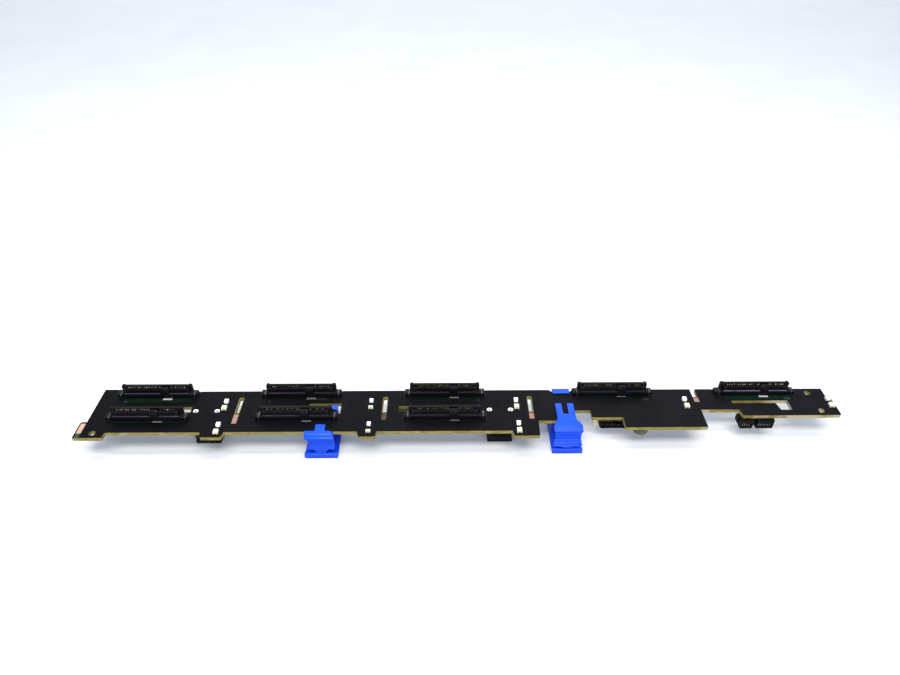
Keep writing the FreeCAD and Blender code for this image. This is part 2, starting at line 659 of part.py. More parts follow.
def receptacle_contacts():
    """Sprung strips along the far face of the slot, crowned at the tip with a slanted lead-in."""
    back = socket_far
    strips = []
    for number, x in enumerate(contact_places):
        tip = CONTACT_TIP
        if number in FIRST_MATE_CONTACTS:
            tip = tip + FIRST_MATE_RISE
        profile = [(back, SOCKET_FLOOR), (back, tip), (back - CONTACT_CROWN, tip - CONTACT_CROWN),
                   (back - CONTACT_THICKNESS, SOCKET_FLOOR)]
        strips.append(profile_x(profile, x - CONTACT_WIDTH / 2, x + CONTACT_WIDTH / 2))
    return Part.makeCompound(strips)


def hold_down_clips():
    """Narrow bent straps up the near face of each lug and over its top."""
    near = -LUG_DEPTH / 2
    top = LUG_HEIGHT + CLIP_SHEET
    strap = [(near, 0), (near, LUG_HEIGHT), (near + CLIP_REACH, LUG_HEIGHT), (near + CLIP_REACH, top),
             (near - CLIP_SHEET, top), (near - CLIP_SHEET, 0)]
    clips = []
    for x, row in bays:
        for line in CLIP_LINES:
            clip = profile_x(strap, line - CLIP_WIDTH / 2, line + CLIP_WIDTH / 2)
            clips.append(clip.translated(FreeCAD.Vector(x, row, board_top)))
    return Part.makeCompound(clips)


# ---------------------------------------------------------------- lamps
def lamp_body(x, y):
    top = board_top + LAMP_HEIGHT
    body = block(x - LAMP_WIDTH / 2, x + LAMP_WIDTH / 2, y - LAMP_LENGTH / 2, y + LAMP_LENGTH / 2,
                 board_top, top)
    return without(body, [plate(octagon(x, y, LENS_WIDTH), top - LENS_DEPTH, top + 1)])


def lamp_lens(x, y):
    top = board_top + LAMP_HEIGHT
    return plate(octagon(x, y, LENS_WIDTH), top - LENS_DEPTH, top - LENS_RECESS)


def lamp_places(step):
    return [(lamp_x(x), row - LAMP_FAR - step * LAMP_PITCH) for x, row in bays]


# ---------------------------------------------------------------- rear cable sockets
def card_lines():
    """Middles of the two card slots, from the socket's own middle."""
    return (-CABLE_CARD_PITCH / 2, CABLE_CARD_PITCH / 2)


def cable_socket():
    """Cable receptacle about its own centre, opening downwards."""
    half_width = CABLE_SOCKET_WIDTH / 2
    half_depth = CABLE_SOCKET_DEPTH / 2
    outer = plate(rectangle(-half_width, half_width, -half_depth, half_depth), 0, STANDOFF)
    lip = plate(rectangle(-half_width - CABLE_LIP, half_width + CABLE_LIP, -half_depth, half_depth),
                0, CABLE_LIP_HEIGHT)
    catch = block(-CABLE_CATCH_WIDTH / 2, CABLE_CATCH_WIDTH / 2, -half_depth - CABLE_LIP, -half_depth + 1,
                  CABLE_LIP_HEIGHT, CABLE_LIP_HEIGHT + CABLE_CATCH_HEIGHT)
    cavity = block(-half_width + CABLE_WALL, half_width - CABLE_WALL, -half_depth + CABLE_WALL,
                   half_depth - CABLE_WALL, -1, CABLE_SHROUD_DEPTH)
    inner_width = half_width - CABLE_WALL - CABLE_SHROUD_GAP
    inner_depth = half_depth - CABLE_WALL - CABLE_SHROUD_GAP
    core = block(-inner_width, inner_width, -inner_depth, inner_depth, CABLE_BLOCK_RECESS,
                 CABLE_SHROUD_DEPTH + 1)
    wide = CABLE_TRACK_WIDTH / 2
    corner = CABLE_TRACK_CORNER
    floor = CABLE_TRACK_FLOOR
    track = [(-wide, STANDOFF + 1), (-wide, floor + corner), (-wide + corner, floor),
             (wide - corner, floor), (wide, floor + corner), (wide, STANDOFF + 1)]
    groove = profile_y(track, -half_depth - 1, -half_depth + CABLE_TRACK_DEPTH)
    card_slots = []
    for middle in card_lines():
        card_slots.append(block(-CABLE_CARD_WIDTH / 2, CABLE_CARD_WIDTH / 2, middle - CABLE_CARD_SLOT / 2,
                                middle + CABLE_CARD_SLOT / 2, 0, CABLE_BLOCK_RECESS + CABLE_CARD_DEPTH))
    shell = without(joined([outer, lip, catch]), [cavity, groove])
    return without(joined([shell, core]), card_slots)


def cable_contacts():
    """Contacts along the near face of each card slot."""
    strips = []
    low = CABLE_BLOCK_RECESS + CABLE_CONTACT_RECESS
    high = CABLE_BLOCK_RECESS + CABLE_CARD_DEPTH
    for x in cable_sockets:
        for line in card_lines():
            near = CABLE_SOCKET_Y + line - CABLE_CARD_SLOT / 2
            for n in range(CABLE_CONTACTS):
                middle = x + (n - (CABLE_CONTACTS - 1) / 2) * CABLE_CONTACT_PITCH
                left = middle - CABLE_CONTACT_WIDTH / 2
                right = middle + CABLE_CONTACT_WIDTH / 2
                strips.append(block(left, right, near, near + CABLE_CONTACT_THICKNESS, low, high))
    return Part.makeCompound(strips)


def socket_pegs():
    """Flat tinned board locks of each cable socket, with a solder dome on the drive side."""
    pegs = []
    head = PEG_HEAD_DIAMETER
    top = film_top + PEG_HEAD_HEIGHT
    for x, y in peg_places():
        dome = tapered(octagon(x, y, head), film_top, octagon(x, y, head - 2 * PEG_HEAD_TAPER), top)
        wide = PEG_SHANK_WIDTH / 2
        deep = PEG_SHANK_DEPTH / 2
        shank = block(x - wide, x + wide, y - deep, y + deep, board_bottom, film_top)
        pegs.append(joined([dome, shank]))
    return Part.makeCompound(pegs)


# ---------------------------------------------------------------- rear headers
power_left = columns[3] + POWER_HEADER_OFFSET
power_width = POWER_CIRCUITS * POWER_PITCH + 2 * POWER_WALL
power_height = 2 * POWER_CAVITY + 2 * POWER_WALL + POWER_ROW_GAP
power_near = HEADER_SET_BACK - POWER_HEADER_PROUD
power_low = board_bottom - power_height
power_floor = power_near + POWER_HEADER_DEPTH - POWER_BACK_WALL


def power_cavities():
    """Left, right, bottom and top of each circuit's cavity."""
    places = []
    for n in range(POWER_CIRCUITS):
        middle = power_left + POWER_WALL + (n + 0.5) * POWER_PITCH
        for low in (power_low + POWER_WALL, power_low + POWER_WALL + POWER_CAVITY + POWER_ROW_GAP):
            places.append((middle - POWER_CAVITY / 2, middle + POWER_CAVITY / 2, low, low + POWER_CAVITY))
    return places


def power_header():
    right = power_left + power_width
    face = [(power_left, power_low, POWER_CORNER), (right, power_low, POWER_CORNER),
            (right, board_bottom), (power_left, board_bottom)]
    body = profile_y(face, power_near, power_near + POWER_HEADER_DEPTH)
    cuts = []
    for left, right, low, high in power_cavities():
        cuts.append(block(left, right, power_near - 1, power_floor, low, high))
    return without(body, cuts)


def power_pins():
    pins = []
    for left, right, low, high in power_cavities():
        x = (left + right) / 2
        z = (low + high) / 2
        half = POWER_PIN / 2
        pins.append(block(x - half, x + half, power_near + POWER_PIN_RECESS, power_floor, z - half, z + half))
    return Part.makeCompound(pins)


sideband_left = columns[4] - SIDEBAND_OFFSET
sideband_middle = sideband_left + SIDEBAND_PORTS[0]
sideband_right = sideband_middle + SIDEBAND_GAP + SIDEBAND_PORTS[1]
sideband_near = RIGHT_SET_BACK - SIDEBAND_PROUD
sideband_ports = [(sideband_left, sideband_middle), (sideband_middle + SIDEBAND_GAP, sideband_right)]
sideband_floor = sideband_near + SIDEBAND_PORT_DEPTH + SIDEBAND_BLOCK_DEPTH - SIDEBAND_BACK_WALL
sideband_mouth = [board_bottom - SIDEBAND_HEIGHT + rise for rise in SIDEBAND_MOUTH]


def sideband_header():
    """Two small ports side by side on a common block."""
    low = board_bottom - SIDEBAND_HEIGHT
    mouth_low, mouth_high = sideband_mouth
    shoulder = sideband_near + SIDEBAND_PORT_DEPTH
    deep = shoulder + SIDEBAND_BLOCK_DEPTH
    pieces = [block(sideband_left, sideband_right, shoulder, deep, low, board_bottom)]
    ear_low = low + SIDEBAND_EAR_RISE
    ears = [(sideband_left - SIDEBAND_EAR, board_bottom), (sideband_left - SIDEBAND_EAR, ear_low),
            (sideband_right + SIDEBAND_EAR, ear_low), (sideband_right + SIDEBAND_EAR, board_bottom)]
    pieces.append(profile_y(ears, shoulder + SIDEBAND_CHAMFER, deep))
    for left, right in sideband_ports:
        corner = SIDEBAND_CHAMFER
        port = [(left, shoulder + 1), (left, sideband_near + corner), (left + corner, sideband_near),
                (right - corner, sideband_near), (right, sideband_near + corner), (right, shoulder + 1)]
        pieces.append(plate(port, low, board_bottom))
    header = joined(pieces)
    cuts = []
    for left, right in sideband_ports:
        wall = SIDEBAND_WALL
        cuts.append(block(left + wall, right - wall, sideband_near - 1, sideband_floor, mouth_low, mouth_high))
        cuts.append(block(left + wall, left + wall + SIDEBAND_KEY_WIDTH, sideband_near - 1, sideband_floor,
                          mouth_low, mouth_high + SIDEBAND_KEY_RISE))
        middle = (left + right) / 2
        half = SIDEBAND_SPRING_WIDTH / 2 + FIT
        cuts.append(block(middle - half, middle + half, sideband_near + wall, shoulder - FIT, mouth_low,
                          board_bottom + 1))
    return without(header, cuts)


def sideband_springs():
    """Retention springs and contact blades of the twin header."""
    mouth_low, mouth_high = sideband_mouth
    pieces = []
    for left, right in sideband_ports:
        middle = (left + right) / 2
        half = SIDEBAND_SPRING_WIDTH / 2
        pieces.append(block(middle - half, middle + half, sideband_near + SIDEBAND_WALL, sideband_floor,
                            mouth_high - SIDEBAND_SPRING, mouth_high))
        count = int((right - left - 2 * SIDEBAND_FIRST) / CONTACT_PITCH) + 1
        for n in range(count):
            x = middle + (n - (count - 1) / 2) * CONTACT_PITCH
            pieces.append(block(x - SIDEBAND_BLADE / 2, x + SIDEBAND_BLADE / 2, sideband_near + SIDEBAND_WALL,
                                sideband_floor, mouth_low, mouth_low + SIDEBAND_SPRING))
    return Part.makeCompound(pieces)


# ---------------------------------------------------------------- other rear parts
def smoothing_can():
    return rod(columns[3] + CAN_OFFSET, CAN_Y, CAN_DIAMETER, board_bottom - CAN_HEIGHT, board_bottom)


def test_pin():
    x = latch_bay_right + TEST_PIN_OFFSET
    y = HEADER_SET_BACK + TEST_PIN_DEPTH / 2
    half = TEST_PIN_WIDTH / 2
    low = board_bottom - TEST_PIN_LENGTH
    tip = half / 4
    profile = [(x - half, board_bottom), (x - half, low + TEST_PIN_TAPER), (x - tip, low),
               (x + tip, low), (x + half, low + TEST_PIN_TAPER), (x + half, board_bottom)]
    return profile_y(profile, y - TEST_PIN_DEPTH / 2, y + TEST_PIN_DEPTH / 2)


def controller_chip():
    half = CONTROLLER_SIDE / 2
    low = board_bottom - CONTROLLER_HEIGHT
    bevel = CONTROLLER_BEVEL
    outline = [(-half, low + bevel), (-half + bevel, low), (half - bevel, low), (half, low + bevel),
               (half, board_bottom), (-half, board_bottom)]
    chip = profile_y(outline, -half, half)
    return chip.translated(FreeCAD.Vector(columns[2] - CONTROLLER_OFFSET, CONTROLLER_Y, 0))


def regulator_coil():
    half = COIL_SIDE / 2
    x = columns[3] + COIL_OFFSET
    y = back_edge - COIL_FROM_BACK
    corner = COIL_CORNER
    outline = []
    for sx, sy in ((-1, -1), (1, -1), (1, 1), (-1, 1)):
        first = (x + sx * (half - corner), y + sy * half)
        second = (x + sx * half, y + sy * (half - corner))
        outline += [first, second] if sx * sy < 0 else [second, first]
    return plate(outline, board_bottom - COIL_HEIGHT, board_bottom)


def rear_chips():
    """Ceramic capacitors on the underside, one behind each bay."""
    chips = []
    for x, row in bays:
        y = row - REAR_CHIP_LINE
        chips.append(block(x - REAR_CHIP_LENGTH / 2, x + REAR_CHIP_LENGTH / 2, y - REAR_CHIP_WIDTH / 2,
                           y + REAR_CHIP_WIDTH / 2, board_bottom - REAR_CHIP_HEIGHT, board_bottom))
    return Part.makeCompound(chips)


# ---------------------------------------------------------------- release latches
latch_seat = film_top + FIT / 3
latch_top = latch_seat + LATCH_TONGUE_THICKNESS


def inner_path(points, thickness):
    """The far face of a bent sheet from its outer (u, v, radius) points, listed from the top down."""
    shifted = []
    last = len(points) - 1
    for n, here in enumerate(points):
        before = points[max(n - 1, 0)]
        after = points[min(n + 1, last)]
        first = math.atan2(here[1] - before[1], here[0] - before[0])
        second = math.atan2(after[1] - here[1], after[0] - here[0])
        if n == 0:
            first = second
        if n == last:
            second = first
        middle = (first + second) / 2
        reach = thickness / math.cos((second - first) / 2)
        radius = here[2] if len(here) > 2 else 0.0
        if radius:
            radius = radius + thickness if second < first else max(radius - thickness, 0.0)
        shifted.append((here[0] - reach * math.sin(middle), here[1] + reach * math.cos(middle), radius))
    return shifted


def grip_sheet(points, left, right):
    """Bent sheet of the grip and its tongue, extruded over the latch's width."""
    outline = list(points) + list(reversed(inner_path(points, LATCH_PLATE)))
    return profile_x(outline, left, right)


def grip_points(reach, edge, crest, knee, hollow, flare):
    """Outer face of a grip: tongue end, groove inside the board's edge, shoulder, hollow, flare."""
    groove = edge + LATCH_GROOVE_WIDTH
    low = latch_top - LATCH_GROOVE_DEPTH
    return [(reach, latch_top), (groove + LATCH_GROOVE_WIDTH, latch_top), (groove, low), (crest, low),
            knee, (hollow[0], hollow[1], LATCH_CURVE), flare]


def latch_base(x, front_y, rear_y, left, right):
    """Base plate with an upturned front lip, and the two ribs that stiffen it."""
    t = LATCH_BASE_THICKNESS
    lip = [(front_y, 0), (rear_y, 0), (rear_y, t), (front_y + LATCH_LIP_DEPTH, t),
           (front_y + LATCH_LIP_DEPTH, LATCH_LIP_HEIGHT), (front_y + LATCH_CHAMFER, LATCH_LIP_HEIGHT),
           (front_y, LATCH_LIP_HEIGHT - LATCH_CHAMFER)]
    pieces = [profile_x(lip, left, right)]
    toe = front_y + LATCH_RIB_TOE
    rise = [(toe, t / 2), (rear_y, t / 2), (rear_y, LATCH_RIB_HEIGHT), (toe + LATCH_RIB_SLOPE, LATCH_RIB_HEIGHT)]
    for rib in (x - LATCH_STEM_WIDTH / 2, x + LATCH_STEM_WIDTH / 2 - LATCH_RIB):
        pieces.append(profile_x(rise, rib, rib + LATCH_RIB))
    return pieces


def latch_hook(x, near_face, width, plate_thickness, grip):
    """Upright behind the board's edge, with a lip that reaches over the board."""
    far_face = near_face + plate_thickness
    lip = near_face - grip
    corner = LATCH_CHAMFER
    hook = [(near_face, 0), (far_face, 0), (far_face, latch_top - corner), (far_face - corner, latch_top),
            (lip + corner, latch_top), (lip, latch_top - corner), (lip, latch_seat), (near_face, latch_seat)]
    return profile_x(hook, x - width / 2, x + width / 2)


def latch_stem(x, near_face, front_face):
    """Upright from the base, with a web forward to the grip plate below the board."""
    top = board_bottom - 3 * FIT
    far_face = near_face + LATCH_STEM
    stem = [(near_face, 0), (far_face, 0), (far_face, top), (front_face, top),
            (front_face, top - LATCH_STEM), (near_face, top - LATCH_STEM)]
    return profile_x(stem, x - LATCH_STEM_WIDTH / 2, x + LATCH_STEM_WIDTH / 2)


def thumb_cuts(x, left, right, low, drop):
    """Material taken off the grip plate's lower edge on both sides of its rounded middle."""
    cuts = []
    for edge, way in ((left, 1), (right, -1)):
        start = x - way * THUMB_WIDTH / 2
        middle = start + way * THUMB_WIDTH / 4
        beside = [(edge - way, low - 1), (middle, low - 1), (middle, low), (start, low + drop),
                  (edge - way, low + drop)]
        cuts.append(profile_y(beside, -2 * LEFT_FRONT, LATCH_LEDGE_SET_BACK))
    return cuts


def waist_cut(ear, edge, way):
    """Material taken off one side of the grip plate, below its ear and down to its flare."""
    top, high, low, bottom = LATCH_WAIST_HEIGHTS
    inner = edge + way * LATCH_WAIST
    far = ear - way
    outline = [(far, top), (ear, top), (inner, high), (inner, low), (edge, bottom), (edge, 0), (far, 0)]
    return profile_y(outline, -2 * LEFT_FRONT, LATCH_LEDGE_SET_BACK)


def left_latch():
    """Latch with a single tongue on the board; its hook comes up through a board window."""
    x = left_latch_x
    left = x - LATCH_GRIP_WIDTH / 2
    right = x + LATCH_GRIP_WIDTH / 2
    ear = left - LATCH_EAR
    crest = LEFT_CREST
    points = grip_points(LEFT_TONGUE_REACH, crest, crest, LEFT_KNEE, LEFT_HOLLOW, LEFT_FLARE)
    tongue_left = x + LEFT_TONGUE_SHIFT - LEFT_TONGUE_WIDTH / 2
    tongue_right = tongue_left + LEFT_TONGUE_WIDTH
    behind = LEFT_TONGUE_REACH + 1
    beside = crest + 2 * FIT
    cuts = [block(ear - 1, tongue_left, beside, behind, 0, latch_top + 1),
            block(tongue_right, right + 1, beside, behind, 0, latch_top + 1),
            block(ear - 1, right + 1, -FIT, behind, 0, latch_seat),
            waist_cut(ear, left, 1)]
    shoulder = latch_top - LATCH_GROOVE_DEPTH
    corner = [(right - LEFT_CORNER, shoulder), (right - LEFT_CORNER, latch_top), (right + 1, latch_top),
              (right + 1, shoulder - 1.5 * LEFT_CORNER), (right, shoulder - LEFT_CORNER)]
    cuts.append(profile_y(corner, -2 * LEFT_FRONT, beside))
    cuts += thumb_cuts(x, left, right, LEFT_FLARE[1], LEFT_THUMB_DROP)
    pieces = [without(grip_sheet(points, ear, right), cuts)]
    near_face = hook_window_near + FIT
    base_right = right + LEFT_BASE_PAST
    pieces += latch_base(x, -LEFT_FRONT, near_face + LEFT_HOOK_PLATE, base_right - LEFT_BASE_WIDTH, base_right)
    pieces.append(latch_hook(left_hook_x, near_face, LEFT_HOOK_WIDTH, LEFT_HOOK_PLATE, LEFT_HOOK_GRIP))
    pieces.append(latch_stem(x, LEFT_STEM, LEFT_WEB))
    return joined(pieces)


def right_latch():
    """Latch with a forked tongue on the board; its hook clips over the back edge."""
    x = right_latch_x
    left = x - LATCH_GRIP_WIDTH / 2
    right = x + LATCH_GRIP_WIDTH / 2
    ear = right + LATCH_EAR
    edge = LATCH_LEDGE_SET_BACK
    reach = edge + RIGHT_TONGUE_REACH
    crest = edge + RIGHT_CREST
    points = grip_points(reach, crest, crest, RIGHT_KNEE, RIGHT_HOLLOW, RIGHT_FLARE)
    fork_left = x + RIGHT_TONGUE_SHIFT - RIGHT_TONGUE_WIDTH / 2
    fork_right = fork_left + RIGHT_TONGUE_WIDTH
    slot_left = (fork_left + fork_right - FORK_SLOT) / 2
    beside = crest + 2 * FIT
    cuts = []
    for fork_side, plate_side, way in ((fork_left, left, -1), (fork_right, ear, 1)):
        outer = plate_side + way
        slope = [(fork_side, beside), (fork_side, reach + 1), (outer, reach + 1),
                 (outer, beside - SHOULDER_SLOPE), (plate_side, beside - SHOULDER_SLOPE)]
        cuts.append(plate(slope, 0, latch_top + 1))
    cuts += [block(slot_left, slot_left + FORK_SLOT, reach - FORK_SLOT_LENGTH, reach + 1, 0, latch_top + 1),
             block(left - 1, ear + 1, edge - FIT, reach + 1, 0, latch_seat),
             waist_cut(left, left, 1), waist_cut(ear, ear, -1)]
    cuts += thumb_cuts(x, left, ear, RIGHT_FLARE[1], RIGHT_THUMB_DROP)
    pieces = [without(grip_sheet(points, left, ear), cuts)]
    near_face = back_edge - BACK_NOTCH_DEPTH + FIT
    base_left = left - RIGHT_BASE_PAST
    pieces += latch_base(x, -RIGHT_FRONT, near_face + RIGHT_HOOK_PLATE, base_left, base_left + RIGHT_BASE_WIDTH)
    pieces.append(latch_hook(right_hook_x, near_face, RIGHT_HOOK_WIDTH, RIGHT_HOOK_PLATE, RIGHT_HOOK_GRIP))
    pieces.append(latch_stem(x, RIGHT_STEM, RIGHT_WEB))
    return joined(pieces)


# ---------------------------------------------------------------- build and write
def placed(shape, x, y, z):
    return shape.translated(FreeCAD.Vector(x, y, z))


nodes = {}
nodes["circuit_board"] = circuit_board()
nodes["insulating_film"] = insulating_film()
nodes["copper_pads"] = copper_pads()
housing = receptacle_housing()
contacts = receptacle_contacts()
for number, (x, row) in enumerate(bays, start=1):
    nodes["drive_receptacle_%d" % number] = placed(housing, x, row, board_top)
    nodes["receptacle_contacts_%d" % number] = placed(contacts, x, row, board_top)
nodes["hold_down_clips"] = hold_down_clips()
nodes["activity_lamps"] = Part.makeCompound([lamp_body(x, y) for x, y in lamp_places(0)])
nodes["status_lamps"] = Part.makeCompound([lamp_body(x, y) for x, y in lamp_places(1)])
nodes["lamp_lenses"] = Part.makeCompound([lamp_lens(x, y) for x, y in lamp_places(0) + lamp_places(1)])
nodes["rear_cable_socket_left"] = placed(cable_socket(), cable_sockets[0], CABLE_SOCKET_Y, 0)
nodes["rear_cable_socket_right"] = placed(cable_socket(), cable_sockets[1], CABLE_SOCKET_Y, 0)
nodes["cable_socket_contacts"] = cable_contacts()
nodes["cable_socket_pegs"] = socket_pegs()
nodes["power_header"] = power_header()
nodes["power_header_pins"] = power_pins()
nodes["sideband_header"] = sideband_header()
nodes["sideband_springs"] = sideband_springs()
nodes["smoothing_can"] = smoothing_can()
nodes["test_pin"] = test_pin()
nodes["controller_chip"] = controller_chip()
nodes["regulator_coil"] = regulator_coil()
nodes["rear_chips"] = rear_chips()
nodes["release_latch_left"] = left_latch()
nodes["release_latch_right"] = right_latch()

box = Part.makeCompound(list(nodes.values())).BoundBox
origin = FreeCAD.Vector((box.XMin + box.XMax) / 2, (box.YMin + box.YMax) / 2, box.ZMin)
for name, shape in nodes.items():
    shape.translated(origin * -1).exportStep(os.path.join("parts", name + ".step"))
print("size %.2f x %.2f x %.2f mm, %d pieces" % (box.XLength, box.YLength, box.ZLength, len(nodes)))
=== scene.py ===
import bpy
import json
import math
from mathutils import Matrix, Vector


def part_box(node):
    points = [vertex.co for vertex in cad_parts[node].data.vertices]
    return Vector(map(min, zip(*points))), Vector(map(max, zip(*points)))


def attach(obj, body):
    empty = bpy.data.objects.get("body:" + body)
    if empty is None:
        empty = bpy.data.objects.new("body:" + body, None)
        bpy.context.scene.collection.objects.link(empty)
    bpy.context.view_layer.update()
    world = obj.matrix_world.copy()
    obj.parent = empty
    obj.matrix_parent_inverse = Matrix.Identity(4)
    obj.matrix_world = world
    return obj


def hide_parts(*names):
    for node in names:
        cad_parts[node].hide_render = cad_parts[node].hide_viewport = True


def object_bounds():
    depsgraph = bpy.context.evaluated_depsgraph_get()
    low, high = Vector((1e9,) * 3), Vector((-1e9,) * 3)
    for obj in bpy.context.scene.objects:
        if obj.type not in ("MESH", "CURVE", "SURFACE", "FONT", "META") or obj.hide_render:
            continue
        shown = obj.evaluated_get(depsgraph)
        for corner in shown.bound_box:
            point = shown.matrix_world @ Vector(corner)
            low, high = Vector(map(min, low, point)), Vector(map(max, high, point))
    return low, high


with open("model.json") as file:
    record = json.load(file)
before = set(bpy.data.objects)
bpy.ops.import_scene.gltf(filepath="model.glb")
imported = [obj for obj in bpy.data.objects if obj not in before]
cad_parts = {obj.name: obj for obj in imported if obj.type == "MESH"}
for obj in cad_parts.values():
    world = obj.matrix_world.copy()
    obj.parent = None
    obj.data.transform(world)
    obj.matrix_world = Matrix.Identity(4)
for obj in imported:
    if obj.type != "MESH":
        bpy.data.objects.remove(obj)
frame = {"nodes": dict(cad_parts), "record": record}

bpy.ops.object.select_all(action="DESELECT")
size_at_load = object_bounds()
MM = 0.001
MERGE = 0.002 * MM        # points of a node's loose triangles that are one point

# sizes of the patterns, in millimetres
HALF_BOARD = 212.0        # half the board's length, for tones that change along it
CLOTH = 0.5               # thread spacing of the glass cloth, seen through the mask
PLY_PITCH = 0.2856        # one glass ply of the laminate
MOULD_GRAIN = 0.35
MOULD_TONE = 6.0
MOULD_DEPTH = 0.01
MOULD_EDGE = 0.12
GRIP_PITCH = 1.5708       # grip lines across the latches' fronts
GRIP_DEPTH = 0.35
THIN_PLACE = 1.2          # where plating has worn thin
DRAW_MARK = 0.25
DRAW_DEPTH = 0.004


# ---------------------------------------------------------------- colours and nodes
def colour(text):
    """A screen colour such as "2b2a31" as linear red, green, blue and full alpha."""
    parts = [int(text[i:i + 2], 16) / 255 for i in (0, 2, 4)]
    return tuple(p / 12.92 if p <= 0.04045 else ((p + 0.055) / 1.055) ** 2.4 for p in parts) + (1.0,)


def node(tree, kind, settings=None, inputs=None, out=0, stops=()):
    """One node with its properties, its inputs (values or links) and its colour stops; gives one output."""
    made = tree.nodes.new(kind)
    for key, value in (settings or {}).items():
        setattr(made, key, value)
    for key, value in (inputs or {}).items():
        if isinstance(value, bpy.types.NodeSocket):
            tree.links.new(value, made.inputs[key])
        else:
            made.inputs[key].default_value = value
    if stops:
        band = made.color_ramp
        while len(band.elements) < len(stops):
            band.elements.new(0.5)
        for element, (place, tint) in zip(band.elements, stops):
            element.position = place
            element.color = colour(tint)
    return made.outputs[out]


# ---------------------------------------------------------------- patterns, in millimetres on the part
def place_on_part(tree):
    """The point's place in millimetres, in the part's own frame."""
    point = node(tree, "ShaderNodeTexCoord", out="Object")
    return node(tree, "ShaderNodeVectorMath", {"operation": "SCALE"}, {0: point, "Scale": 1 / MM})


def coordinate(tree, axis):
    """One coordinate of the point, in millimetres."""
    return node(tree, "ShaderNodeSeparateXYZ", inputs={0: place_on_part(tree)}, out=axis)


def facing(tree, axis):
    """How far the surface faces along an axis, from -1 to 1."""
    normal = node(tree, "ShaderNodeNewGeometry", out="Normal")
    return node(tree, "ShaderNodeSeparateXYZ", inputs={0: normal}, out=axis)


def strip(tree, axis, start, end):
    """One between two coordinates, nought outside them."""
    return node(tree, "ShaderNodeMath", {"operation": "COMPARE"},
                {0: coordinate(tree, axis), 1: (start + end) / 2, 2: (end - start) / 2})


def mottle(tree, size_mm, detail=3.0, stretch=(1, 1, 1)):
    """Soft blotches about size_mm across, from 0 to 1."""
    scaled = node(tree, "ShaderNodeVectorMath", {"operation": "MULTIPLY"},
                  {0: place_on_part(tree), 1: tuple(1.0 / (size_mm * s) for s in stretch)})
    inputs = {"Vector": scaled, "Scale": 1.0, "Detail": detail, "Roughness": 0.55}
    return node(tree, "ShaderNodeTexNoise", inputs=inputs, out="Fac")


def along_board(tree, left, right):
    """A value that goes from one to another along the whole board."""
    return node(tree, "ShaderNodeMapRange", inputs={"Value": coordinate(tree, "X"), "From Min": -HALF_BOARD,
                                                    "From Max": HALF_BOARD, "To Min": left, "To Max": right})


def bands(pitch_mm):
    """Scale that gives a wave texture one band each pitch_mm."""
    return math.tau / (20 * pitch_mm)


# ---------------------------------------------------------------- what every finish shares
def material(name):
    """A new node material, its tree and its surface node."""
    made = bpy.data.materials.new(name)
    made.use_nodes = True
    return made, made.node_tree, made.node_tree.nodes["Principled BSDF"]


def fixed(surface, **sockets):
    """Plain values on the surface node, with spaces written as underscores."""
    for key, value in sockets.items():
        surface.inputs[key.replace("_", " ")].default_value = value


def relief(tree, surface, height, depth_mm, edge_mm=0.0):
    """Bump of a real depth, over edges softened to a real radius."""
    inputs = {"Strength": 1.0, "Distance": depth_mm * MM, "Height": height}
    if edge_mm:
        inputs["Normal"] = node(tree, "ShaderNodeBevel", {"samples": 4}, {"Radius": edge_mm * MM})
    tree.links.new(node(tree, "ShaderNodeBump", inputs=inputs), surface.inputs["Normal"])


def uneven_gloss(tree, surface, pattern, smooth, rough):
    """Roughness that goes from smooth to rough with a pattern's middle range."""
    gloss = node(tree, "ShaderNodeMapRange", inputs={"Value": pattern, "From Min": 0.3, "From Max": 0.7,
                                                     "To Min": smooth, "To Max": rough})
    tree.links.new(gloss, surface.inputs["Roughness"])


def mould_grain(tree, surface, gloss):
    """Gloss broken by the mould's spark-eroded grain; gives the grain.

    The real grain is about 0.1 mm, too fine to show, so it is drawn at MOULD_GRAIN.
    """
    grain = mottle(tree, MOULD_GRAIN, 2.0)
    uneven_gloss(tree, surface, grain, gloss - 0.07, gloss + 0.07)
    return grain


def moulded(name, dark, light, gloss):
    """Moulded plastic: a slow change of tone, a fine grain in the gloss, edges softened by the mould."""
    made, tree, surface = material(name)
    tone = node(tree, "ShaderNodeValToRGB", inputs={"Fac": mottle(tree, MOULD_TONE, 2.0)},
                stops=((0.3, dark), (0.7, light)))
    tree.links.new(tone, surface.inputs["Base Color"])
    relief(tree, surface, mould_grain(tree, surface, gloss), MOULD_DEPTH, MOULD_EDGE)
    return made, surface


def plated(name, shade, worn, gloss, metallic=1.0):
    """Plated metal: the plating's colour with thin places, and fine marks along the drawn strip.

    Real draw marks are a few hundredths of a millimetre, so they are drawn at DRAW_MARK to show.
    """
    made, tree, surface = material(name)
    tint = node(tree, "ShaderNodeValToRGB", inputs={"Fac": mottle(tree, THIN_PLACE)},
                stops=((0.35, worn), (0.6, shade)))
    tree.links.new(tint, surface.inputs["Base Color"])
    drawn = mottle(tree, DRAW_MARK, 2.0, stretch=(1, 1, 6))
    uneven_gloss(tree, surface, drawn, gloss - 0.08, gloss + 0.1)
    fixed(surface, Metallic=metallic)
    relief(tree, surface, drawn, DRAW_DEPTH, 0.03)
    return made, tree, surface, tint


